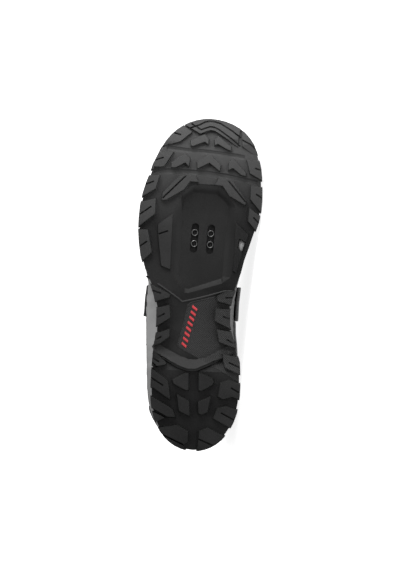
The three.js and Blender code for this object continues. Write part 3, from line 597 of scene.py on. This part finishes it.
ring = collar_ring(tree_of(upper))
ring_tree = KDTree(len(ring))
for number, spot in enumerate(ring):
    ring_tree.insert(spot, number)
ring_tree.balance()
swell_directions = [vertex.normal.copy() for vertex in upper.data.vertices]
for vertex, normal in zip(upper.data.vertices, swell_directions):
    _, _, away = ring_tree.find(vertex.co)
    behind_throat = min(1.0, max(0.0, (THROAT_ALONG - vertex.co.x / LENGTH) / THROAT_FADE))
    if away < COLLAR_ROLL and behind_throat:
        vertex.co += normal * COLLAR_SWELL * behind_throat * math.sin(math.pi * away / COLLAR_ROLL) ** 2
print("collar edge found at", len(ring), "places")
for skin, thickness in ((toe_cap, CAP_SKIN), (counter, THIN_SKIN), (eyestay, THIN_SKIN)):
    tuck_under(upper, skin, thickness)

# %% [markdown]
# Behind the strap the inner wall of the cloth bulges a little, as cloth does beside a band that holds it.
# The bulge dies out towards the heel, towards the strap and up the wall.

# %% Bulge behind the strap
BULGE = 2.2 * MM
BULGE_ALONG = (0.24, 0.33, 0.385, 0.41)
BULGE_HEIGHT = (34 * MM, 62 * MM)


def ease(value, low, high):
    share = min(1.0, max(0.0, (value - low) / (high - low)))
    return share * share * (3 - 2 * share)


for vertex in upper.data.vertices:
    along = vertex.co.x / LENGTH
    amount = ease(along, *BULGE_ALONG[:2]) * (1 - ease(along, *BULGE_ALONG[2:]))
    amount *= 1 - ease(vertex.co.y, *BULGE_HEIGHT)
    if vertex.co.z < MIDDLE_SIDE and amount:
        vertex.co.z -= BULGE * amount

# %% [markdown]
# Two things are remembered on the upper for its material: how high each point is above the sole's edge,
# which is where the smooth rand ends and the mesh begins, and which faces look inwards and are lining.

# %% Rand and lining marks
SHELF_UP = 5 * MM
feather = {}
for vertex in upper.data.vertices:
    shelf = round(vertex.co.x / SHELF_UP)
    feather[shelf] = min(feather.get(shelf, 1.0), vertex.co.y)
rise = upper.data.attributes.new("rise", "FLOAT", "POINT")
for vertex in upper.data.vertices:
    low_here = feather[round(vertex.co.x / SHELF_UP)]
    rise.data[vertex.index].value = (vertex.co.y - low_here) / MM
inner_faces = 0
LINING_SLOT = 1
for face in upper.data.polygons:
    middle = Vector((min(max(face.center.x, 0.14 * LENGTH), 0.86 * LENGTH), MIDDLE_HEIGHT, MIDDLE_SIDE))
    if face.normal.dot(middle - face.center) > 0:
        face.material_index = LINING_SLOT
        inner_faces += 1
print("lining faces", inner_faces, "of", len(upper.data.polygons))

# %% [markdown]
# Stitches are tiny capsules set end to end. One is modelled from a sphere, and copies are laid along a
# line on the piece. The lines run a fixed step inside a piece's edge, and rays from outside find both: the
# edge, and the surface under each stitch.

# %% Stitches
STITCH = Vector((2.2, 0.55, 0.7)) * MM
STITCH_PITCH = 3.1 * MM
EDGE_STEP = 0.009
REACH = 0.15


def wrap_point(tree, along, degrees):
    """A point and normal on a piece, seen from outside."""
    middle = Vector((along * LENGTH, MIDDLE_HEIGHT, MIDDLE_SIDE))
    out = Vector((0, math.sin(math.radians(degrees)), math.cos(math.radians(degrees))))
    hit, normal, _, _ = tree.ray_cast(middle + out * REACH, -out, REACH)
    return (hit, normal) if hit is not None else None


def edge_line(tree, first_along, last_along, degrees):
    """Places just inside a piece's edge, found by walking along the foot at each degree round it."""
    line, steps = [], 90
    for angle in degrees:
        for k in range(steps):
            along = first_along + (last_along - first_along) * k / steps
            if wrap_point(tree, along, angle) is not None:
                line.append((along + math.copysign(EDGE_STEP, last_along - first_along), angle))
                break
    return line


def stitch_row(tree, line, name, pitch=STITCH_PITCH):
    """Stitches on a line given as (along, degrees) corners."""
    samples = []
    for (a0, d0), (a1, d1) in zip(line, line[1:]):
        count = max(2, round(12 * max(abs(d1 - d0) / 8, abs(a1 - a0) / 0.05)))
        samples += [wrap_point(tree, a0 + (a1 - a0) * k / count, d0 + (d1 - d0) * k / count)
                    for k in range(count)]
    samples = [sample for sample in samples if sample is not None]
    bpy.ops.mesh.primitive_ico_sphere_add(subdivisions=1, radius=0.5)
    capsule = bpy.context.object
    travelled, stitches = 0.0, []
    for (here, normal), (there, _) in zip(samples, samples[1:]):
        step = (there - here).length
        travelled += step
        if travelled < pitch or step < 1e-6 or step > 3 * pitch:
            continue
        travelled = 0.0
        ahead = (there - here).normalized()
        across = ahead.cross(normal).normalized()
        stitch = new_object(name, capsule.data.copy())
        stitch.data.transform(Matrix.Diagonal((*STITCH, 1)))
        stitch.data.transform(Matrix((ahead, normal, across)).transposed().to_4x4())
        stitch.data.transform(Matrix.Translation(here + normal * STITCH.y * 0.2))
        stitches.append(stitch)
    bpy.data.objects.remove(capsule)
    return join(stitches, name)


strap_tree, cap_tree = tree_of(strap), tree_of(toe_cap)
counter_tree, eyestay_tree = tree_of(counter), tree_of(eyestay)
strap_stitches = join([
    stitch_row(strap_tree, [(0.402, 8), (0.402, 90), (0.402, 190)], "strap_back_row"),
    stitch_row(strap_tree, [(0.479, 8), (0.486, 90), (0.496, 190)], "strap_front_row"),
    stitch_row(strap_tree, [(0.402, 8), (0.479, 6)], "strap_end_row"),
    stitch_row(strap_tree, [(0.402, 30), (0.48, 28)], "strap_box_row"),
], "strap_stitches")
skin_stitches = join([
    stitch_row(cap_tree, edge_line(cap_tree, 0.7, 0.97, range(-20, 202, 6)), "cap_row"),
    stitch_row(counter_tree, edge_line(counter_tree, 0.34, 0.05, range(-28, 26, 3)), "counter_outer_row"),
    stitch_row(counter_tree, edge_line(counter_tree, 0.34, 0.05, range(154, 208, 3)), "counter_inner_row"),
    stitch_row(eyestay_tree, edge_line(eyestay_tree, 0.7, 0.5, range(58, 124, 3)), "eyestay_front_row"),
], "skin_stitches")
print("stitches:", len(strap_stitches.data.polygons) // 20 + len(skin_stitches.data.polygons) // 20)

# %% [markdown]
# Every material reads its pattern in the shoe's own directions. A Mapping node undoes the lean of the
# lying shoe, so that x, y and z mean toe, up and outer side in the shader too.

# %% Shader helpers
def add_node(tree, kind, inputs=None, **settings):
    node = tree.nodes.new(kind)
    for key, value in settings.items():
        setattr(node, key, value)
    for key, value in (inputs or {}).items():
        if isinstance(value, bpy.types.NodeSocket):
            tree.links.new(value, node.inputs[key])
        else:
            node.inputs[key].default_value = value
    return node


def new_material(name, **settings):
    """A material with a Principled shader and the shoe's own coordinates."""
    material = bpy.data.materials.new(name)
    material.use_nodes = True
    tree = material.node_tree
    shader = tree.nodes["Principled BSDF"]
    for key, value in settings.items():
        shader.inputs[key.replace("_", " ").title()].default_value = value
    place = add_node(tree, "ShaderNodeTexCoord").outputs["Object"]
    straight = add_node(tree, "ShaderNodeMapping", {
        "Vector": place, "Location": stand_up.to_translation(), "Rotation": stand_up.to_euler()})
    return material, tree, shader, straight.outputs["Vector"]


def ramp(tree, value, low, high, start=0.0, end=1.0):
    """A value between two limits carried over to another range, with soft ends."""
    return add_node(tree, "ShaderNodeMapRange", {
        "Value": value, "From Min": low, "From Max": high, "To Min": start, "To Max": end},
        interpolation_type="SMOOTHSTEP").outputs["Result"]


def maths(tree, operation, first, second=0.0):
    return add_node(tree, "ShaderNodeMath", {0: first, 1: second}, operation=operation).outputs[0]


def blend_colors(tree, factor, first, second):
    mix = add_node(tree, "ShaderNodeMix", data_type="RGBA")
    for key, value in (("Factor", factor), ("A", first), ("B", second)):
        socket = next(s for s in mix.inputs if s.name == key and (s.type == "RGBA" or key == "Factor"))
        if isinstance(value, bpy.types.NodeSocket):
            tree.links.new(value, socket)
        else:
            socket.default_value = value
    return next(s for s in mix.outputs if s.type == "RGBA")


def grey(level):
    return (level, level, level, 1)


def surface(tree, shader, height, strength, distance, edge=0.0):
    """Relief on a surface, and where edge is given, a round edge of that radius."""
    bump = add_node(tree, "ShaderNodeBump", {"Height": height, "Strength": strength, "Distance": distance})
    if edge:
        rounded = add_node(tree, "ShaderNodeBevel", {"Radius": edge}, samples=6)
        tree.links.new(rounded.outputs["Normal"], bump.inputs["Normal"])
    tree.links.new(bump.outputs["Normal"], shader.inputs["Normal"])


# %% [markdown]
# Two effects come back in many materials: the fine grain of moulded rubber and foam, and a grid of
# diamonds, which is the open weave of the mesh as well as the hatched rubber of the arch. Each is a node
# group with its own size, so one group serves large and small patterns.

# %% Grain and diamond groups
def new_group(name, inputs, outputs):
    group = bpy.data.node_groups.new(name, "ShaderNodeTree")
    for label, kind in inputs:
        group.interface.new_socket(label, in_out="INPUT", socket_type=kind)
    for label in outputs:
        group.interface.new_socket(label, in_out="OUTPUT", socket_type="NodeSocketFloat")
    start = group.nodes.new("NodeGroupInput")
    end = group.nodes.new("NodeGroupOutput")
    return group, start.outputs, end.inputs


def grain_group():
    group, given, result = new_group(
        "FineGrain", [("Vector", "NodeSocketVector"), ("Scale", "NodeSocketFloat")], ["Height", "Cloud"])
    fine = add_node(group, "ShaderNodeTexNoise", {
        "Vector": given["Vector"], "Scale": given["Scale"], "Detail": 3})
    cells = add_node(group, "ShaderNodeTexVoronoi", {"Vector": given["Vector"], "Scale": given["Scale"]})
    both = maths(group, "ADD", fine.outputs["Fac"], maths(group, "MULTIPLY", cells.outputs["Distance"], 0.5))
    group.links.new(both, result["Height"])
    broad = add_node(group, "ShaderNodeTexNoise", {
        "Vector": given["Vector"], "Scale": maths(group, "DIVIDE", given["Scale"], 60.0), "Detail": 4})
    group.links.new(broad.outputs["Fac"], result["Cloud"])
    return group


def diamond_group():
    """Rows of diamonds, every other row shifted by half a step."""
    group, given, result = new_group(
        "DiamondGrid", [("Vector", "NodeSocketVector"), ("Pitch", "NodeSocketFloat")], ["Height", "Hole"])
    split = add_node(group, "ShaderNodeSeparateXYZ", {"Vector": given["Vector"]})
    along = maths(group, "DIVIDE", split.outputs["X"], given["Pitch"])
    lateral = maths(group, "ADD", split.outputs["Y"], split.outputs["Z"])
    across = maths(group, "DIVIDE", lateral, given["Pitch"])
    waves = [maths(group, "SINE", maths(group, "MULTIPLY", maths(group, kind, along, across), math.pi))
             for kind in ("ADD", "SUBTRACT")]
    product = maths(group, "MULTIPLY", waves[0], waves[1])
    squared = maths(group, "ABSOLUTE", product)
    group.links.new(squared, result["Height"])
    group.links.new(ramp(group, squared, 0.25, 0.02), result["Hole"])
    return group


GRAIN = grain_group()
DIAMONDS = diamond_group()


def place_group(tree, group, **inputs):
    return add_node(tree, "ShaderNodeGroup", inputs, node_tree=group).outputs


# %% [markdown]
# The outsole is one black-grey rubber with three finishes: smooth on the lugs and in the cleat pocket,
# finely pebbled between the lugs, and hatched in the arch panel. The panel is what lies on the inner side
# of three lines, so the shader measures how far each point is past each line. Moulded rubber has no knife
# edges: a Bevel node rounds them in the shading, which keeps the tread itself free of thousands of sliver
# faces.

# %% Outsole rubber
HATCH_PITCH = 1.9 * MM
EDGE_RADIUS = 0.6 * MM


def past_line(tree, split, start, end, soft=0.4 * MM):
    """1 on the left of a line on the sole, seen from above, and 0 on its right."""
    x0, z0 = start[1] * LENGTH, start[0] * BALL
    dx, dz = end[1] * LENGTH - x0, end[0] * BALL - z0
    reach = math.hypot(dx, dz)
    x_part = maths(tree, "MULTIPLY", maths(tree, "SUBTRACT", split["X"], x0), -dz / reach)
    z_part = maths(tree, "MULTIPLY", maths(tree, "SUBTRACT", split["Z"], z0), dx / reach)
    return ramp(tree, maths(tree, "ADD", x_part, z_part), -soft, soft)


# lift scales every rubber tone; a lift above 1 gives a lighter copy of the same rubber, a painted highlight.
def rubber_material(name, lift):
    material, tree, shader, place = new_material(name, roughness=0.6)
    shader.inputs["Specular IOR Level"].default_value = 0.12
    split = add_node(tree, "ShaderNodeSeparateXYZ", {"Vector": place}).outputs
    pebble = place_group(tree, GRAIN, Vector=place, Scale=900.0)
    hatch = place_group(tree, DIAMONDS, Vector=place, Pitch=HATCH_PITCH)
    in_panel = maths(tree, "MULTIPLY", past_line(tree, split, PANEL_FOOT[0], PANEL_FOOT[-1]),
                     maths(tree, "MULTIPLY", past_line(tree, split, PANEL_LINE[3], PANEL_LINE[0]),
                           past_line(tree, split, PANEL_LINE[-1], PANEL_LINE[3])))
    in_pocket = maths(tree, "MULTIPLY", ramp(tree, split["Y"], 5.4 * MM, 8.0 * MM),
                      maths(tree, "MULTIPLY", ramp(tree, split["X"], 0.47 * LENGTH, 0.5 * LENGTH),
                            ramp(tree, split["X"], 0.81 * LENGTH, 0.79 * LENGTH)))
    # Painted light: lug tops and floors are painted lighter towards the toe, as if lit from the toe side.
    painted_toe_light = ramp(tree, split["X"], 0.3 * LENGTH, 0.95 * LENGTH)
    deep = add_node(tree, "ShaderNodeAttribute", attribute_name="depth").outputs["Fac"]
    # Painted shade: deep rubber between the lugs takes the floor tone, darker than the tops except under the
    # toe.
    between = ramp(tree, deep, 0.8, 3.6)
    floor_toe_light = ramp(tree, split["X"], 0.66 * LENGTH, 0.88 * LENGTH)
    tops_painted_light = blend_colors(tree, painted_toe_light, grey(0.0075 * lift), grey(0.025 * lift))
    floors_painted_shade_light = blend_colors(tree, floor_toe_light, grey(0.004 * lift), grey(0.026 * lift))
    tone = blend_colors(tree, between, tops_painted_light, floors_painted_shade_light)
    # The pocket floor is painted flat dark grey: partly painted shade of the deep recess, partly its own
    # darker rubber.
    tone = blend_colors(tree, in_pocket, tone, grey(0.007))
    tone = blend_colors(tree, in_panel, tone, blend_colors(tree, hatch["Hole"], grey(0.02), grey(0.001)))
    dust = maths(tree, "MULTIPLY", ramp(tree, pebble["Cloud"], 0.4, 0.7), 0.15)
    tone = blend_colors(tree, dust, tone, grey(0.05))
    tree.links.new(tone, shader.inputs["Base Color"])
    tree.links.new(ramp(tree, pebble["Cloud"], 0.3, 0.7, 0.5, 0.66), shader.inputs["Roughness"])
    height = maths(tree, "ADD", maths(tree, "MULTIPLY", pebble["Height"], 0.3),
                   maths(tree, "MULTIPLY", hatch["Height"], in_panel))
    surface(tree, shader, height, 0.7, 0.35 * MM, edge=EDGE_RADIUS)
    return material


# %% [markdown]
# Foam is a paler grey with a faint skin texture. The nut plate is plated steel. Cloth gets its holes from
# the weave group, and the synthetic skins get a leather-like grain with a little coat.

# %% Other materials
RAND_HEIGHT = 13.0


def foam_material():
    material, tree, shader, place = new_material("midsole_foam", roughness=0.6)
    skin = place_group(tree, GRAIN, Vector=place, Scale=700.0)
    tone = blend_colors(tree, ramp(tree, skin["Cloud"], 0.3, 0.7), grey(0.18), grey(0.22))
    split = add_node(tree, "ShaderNodeSeparateXYZ", {"Vector": place}).outputs
    # Painted shade: the foam on the inner side of the arch, which faces the floor, is painted darker.
    inner_arch_painted_shade = maths(tree, "MULTIPLY", ramp(tree, split["Z"], -0.1 * BALL, -0.3 * BALL),
                       maths(tree, "MULTIPLY", ramp(tree, split["X"], 0.53 * LENGTH, 0.5 * LENGTH),
                             ramp(tree, split["X"], 0.2 * LENGTH, 0.26 * LENGTH)))
    tone = blend_colors(tree, inner_arch_painted_shade, tone, grey(0.075))
    tree.links.new(tone, shader.inputs["Base Color"])
    surface(tree, shader, skin["Height"], 0.2, 0.2 * MM)
    return material


def mesh_material(name, thread, hole, pitch):
    material, tree, shader, place = new_material(name, roughness=0.9)
    shader.inputs["Sheen Weight"].default_value = 0.25
    weave = place_group(tree, DIAMONDS, Vector=place, Pitch=pitch)
    fuzz = place_group(tree, GRAIN, Vector=place, Scale=1500.0)
    tone = blend_colors(tree, weave["Hole"], grey(thread), grey(hole))
    tone = blend_colors(tree, maths(tree, "MULTIPLY", fuzz["Cloud"], 0.3), tone, grey(thread * 1.6))
    tree.links.new(tone, shader.inputs["Base Color"])
    height = maths(tree, "ADD", weave["Height"], maths(tree, "MULTIPLY", fuzz["Height"], 0.2))
    surface(tree, shader, height, 0.6, 0.4 * MM)
    return material


def upper_material():
    """Open mesh, with a smooth welded rand along the sole's edge."""
    material, tree, shader, place = new_material("black_mesh", roughness=0.85)
    weave = place_group(tree, DIAMONDS, Vector=place, Pitch=1.5 * MM)
    fuzz = place_group(tree, GRAIN, Vector=place, Scale=1500.0)
    skin = place_group(tree, GRAIN, Vector=place, Scale=700.0)
    rise_here = add_node(tree, "ShaderNodeAttribute", attribute_name="rise").outputs["Fac"]
    wavy = maths(tree, "ADD", rise_here, maths(tree, "MULTIPLY", skin["Cloud"], 0.6))
    rand = ramp(tree, wavy, RAND_HEIGHT + 0.5, RAND_HEIGHT)
    cloth = blend_colors(tree, weave["Hole"], grey(0.024), grey(0.004))
    cloth = blend_colors(tree, maths(tree, "MULTIPLY", fuzz["Cloud"], 0.3), cloth, grey(0.045))
    tree.links.new(blend_colors(tree, rand, cloth, grey(0.016)), shader.inputs["Base Color"])
    tree.links.new(ramp(tree, rand, 0.0, 1.0, 0.88, 0.5), shader.inputs["Roughness"])
    cloth_height = maths(tree, "ADD", weave["Height"], maths(tree, "MULTIPLY", fuzz["Height"], 0.2))
    rand_height = maths(tree, "ADD", maths(tree, "MULTIPLY", skin["Height"], 0.25), 1.6)
    mixed = maths(tree, "ADD", maths(tree, "MULTIPLY", cloth_height, maths(tree, "SUBTRACT", 1.0, rand)),
                  maths(tree, "MULTIPLY", rand_height, rand))
    surface(tree, shader, mixed, 0.6, 0.4 * MM)
    return material


def skin_material(name, level, gloss, grain_scale):
    material, tree, shader, place = new_material(name, roughness=gloss)
    shader.inputs["Coat Weight"].default_value = 0.08
    shader.inputs["Coat Roughness"].default_value = 0.4
    skin = place_group(tree, GRAIN, Vector=place, Scale=grain_scale)
    tone = blend_colors(tree, ramp(tree, skin["Cloud"], 0.3, 0.7), grey(level), grey(level * 1.35))
    tree.links.new(tone, shader.inputs["Base Color"])
    worn = ramp(tree, skin["Cloud"], 0.3, 0.7, gloss - 0.06, gloss + 0.08)
    tree.links.new(worn, shader.inputs["Roughness"])
    surface(tree, shader, skin["Height"], 0.3, 0.2 * MM)
    return material


def steel_material(name, level, gloss):
    material, tree, shader, place = new_material(name, roughness=gloss, metallic=0.9)
    turned = place_group(tree, GRAIN, Vector=place, Scale=1200.0)
    tone = blend_colors(tree, turned["Cloud"], grey(level), grey(level * 2))
    tree.links.new(tone, shader.inputs["Base Color"])
    surface(tree, shader, turned["Height"], 0.15, 0.1 * MM)
    return material


def red_material():
    material, tree, shader, place = new_material("red_print", roughness=0.5)
    skin = place_group(tree, GRAIN, Vector=place, Scale=900.0)
    tone = blend_colors(tree, skin["Cloud"], (0.27, 0.009, 0.015, 1), (0.34, 0.014, 0.02, 1))
    tree.links.new(tone, shader.inputs["Base Color"])
    surface(tree, shader, skin["Height"], 0.15, 0.1 * MM)
    return material


rubber = rubber_material("outsole_rubber", 1.0)
# A lighter copy of the same rubber for the moulded lines, the V band and the pips: painted highlight.
highlight_rubber = rubber_material("highlight_rubber", 1.9)
foam = foam_material()
steel = steel_material("black_oxide_steel", 0.008, 0.5)
rim_steel = steel_material("worn_thread_steel", 0.07, 0.35)
red = red_material()
black_mesh = upper_material()
tongue_mesh = mesh_material("tongue_mesh", 0.02, 0.006, 2.0 * MM)
lining = mesh_material("lining_knit", 0.03, 0.02, 0.8 * MM)
synthetic = skin_material("black_synthetic", 0.013, 0.5, 700.0)
guard = skin_material("toe_guard_rubber", 0.016, 0.62, 900.0)
webbing = skin_material("strap_synthetic", 0.011, 0.55, 800.0)
thread = skin_material("thread", 0.03, 0.6, 1800.0)

# %% Hand the pieces over
finish_piece(outsole, [rubber], "rubber", "outsole", angle=20)
finish_piece(sole_lines, [highlight_rubber], "rubber")
finish_piece(pips, [highlight_rubber], "rubber")
finish_piece(rims, [rim_steel], "steel")
finish_piece(bore_ends, [steel], "steel")
finish_piece(bars, [red], "rubber")
finish_piece(midsole, [foam], "foam", "midsole")
finish_piece(insole, [lining], "lining", "insole")
finish_piece(upper, [black_mesh, lining], "mesh", "upper")
finish_piece(tongue, [tongue_mesh], "padding", "tongue")
finish_piece(toe_cap, [guard], "guard", "toe_cap")
finish_piece(counter, [synthetic], "synthetic", "heel_counter")
finish_piece(eyestay, [synthetic], "synthetic", "eyestay")
finish_piece(strap, [webbing], "webbing", "instep_strap")
finish_piece(strap_stitches, [thread], "webbing")
finish_piece(skin_stitches, [thread], "synthetic")
nut = nodes["cleat_nut_plate"]
nut.data.materials.clear()
nut.data.materials.append(steel)

# %% [markdown]
# The photograph looks straight at the sole with a long lens, the toe up and leaning a little to the right.
# The camera stands off along the sole's own direction, and its up is turned from the toe by that small
# angle.

# %% Camera
PHOTO_WIDTH, PHOTO_HEIGHT = 400, 570
PIXEL = 0.866 * MM
HEEL_PIXEL = (192.5, 451.5)
TOE_LEAN = math.radians(2.84)
LENS, SENSOR = 150.0, 36.0


def add_camera():
    toe, above, outer = (lay_down.to_3x3() @ Vector(axis) for axis in ((1, 0, 0), (0, 1, 0), (0, 0, 1)))
    picture_up = math.cos(TOE_LEAN) * toe + math.sin(TOE_LEAN) * outer
    picture_right = above.cross(picture_up)
    heel = lay_down.to_translation()
    right = (PHOTO_WIDTH / 2 - HEEL_PIXEL[0]) * PIXEL
    rise = (HEEL_PIXEL[1] - PHOTO_HEIGHT / 2) * PIXEL
    target = heel + right * picture_right + rise * picture_up
    distance = PHOTO_HEIGHT * PIXEL * LENS / SENSOR
    data = bpy.data.cameras.new("camera")
    data.lens = LENS
    data.sensor_width = SENSOR
    camera = new_object("camera", data)
    camera.matrix_world = Matrix.Translation(target - above * distance) @ Matrix(
        (picture_right, picture_up, -above)).transposed().to_4x4()
    bpy.context.scene.camera = camera
    print("camera", [round(v, 3) for v in camera.matrix_world.to_translation()])


add_camera()

# %% [markdown]
# Product light for a dark sole on white. A softbox close to the toe grazes the sole, so every face towards
# the toe lights up, every face towards the heel goes dark, and the light falls off along the shoe. The
# floor is a light table: it glows a little of its own, so the shadows under the shoe stay faint. The sky
# is plain white where the camera sees it, and a dimmer lamp for everything else.

# %% Floor and light
FLOOR_SIZE = 40
FLOOR_GLOW = 0.8
SUN_FROM = Vector((0.1, -0.45, 0.9))
SUN_POWER = 1.3
SUN_WIDTH = math.radians(30)
SOFTBOX_PLACE = (0.55, -0.33, 0.3)
SOFTBOX_AIM = (0.02, 0, 0.05)
SOFTBOX_POWER = 7.0
SOFTBOX_SIZE = 0.45
SKY_LIGHT = 0.3


def add_floor():
    bpy.ops.mesh.primitive_plane_add(size=FLOOR_SIZE, location=(0, 0, -0.2 * MM))
    floor = bpy.context.object
    floor.name = "floor"
    material, tree, shader, place = new_material("floor_paper", roughness=0.9)
    shader.inputs["Base Color"].default_value = grey(0.93)
    shader.inputs["Emission Color"].default_value = grey(1.0)
    shader.inputs["Emission Strength"].default_value = FLOOR_GLOW
    floor.data.materials.append(material)


def add_lamp(name, kind, place, energy, aim=(0, 0, 0), **settings):
    data = bpy.data.lights.new(name, kind)
    data.energy = energy
    for key, value in settings.items():
        setattr(data, key, value)
    lamp = new_object(name, data)
    lamp.location = place
    lamp.rotation_euler = (Vector(aim) - Vector(place)).to_track_quat("-Z", "Y").to_euler()


add_floor()
add_lamp("high_lamp", "SUN", SUN_FROM, SUN_POWER, angle=SUN_WIDTH)
add_lamp("toe_softbox", "AREA", SOFTBOX_PLACE, SOFTBOX_POWER, aim=SOFTBOX_AIM, shape="RECTANGLE",
         size=SOFTBOX_SIZE, size_y=SOFTBOX_SIZE)
world = bpy.data.worlds.new("studio")
world.use_nodes = True
sky = world.node_tree.nodes["Background"]
sky.inputs["Color"].default_value = grey(1.0)
seen = add_node(world.node_tree, "ShaderNodeLightPath").outputs["Is Camera Ray"]
world.node_tree.links.new(ramp(world.node_tree, seen, 0.0, 1.0, SKY_LIGHT, 1.0), sky.inputs["Strength"])
bpy.context.scene.world = world
bpy.context.scene.view_settings.view_transform = "Standard"
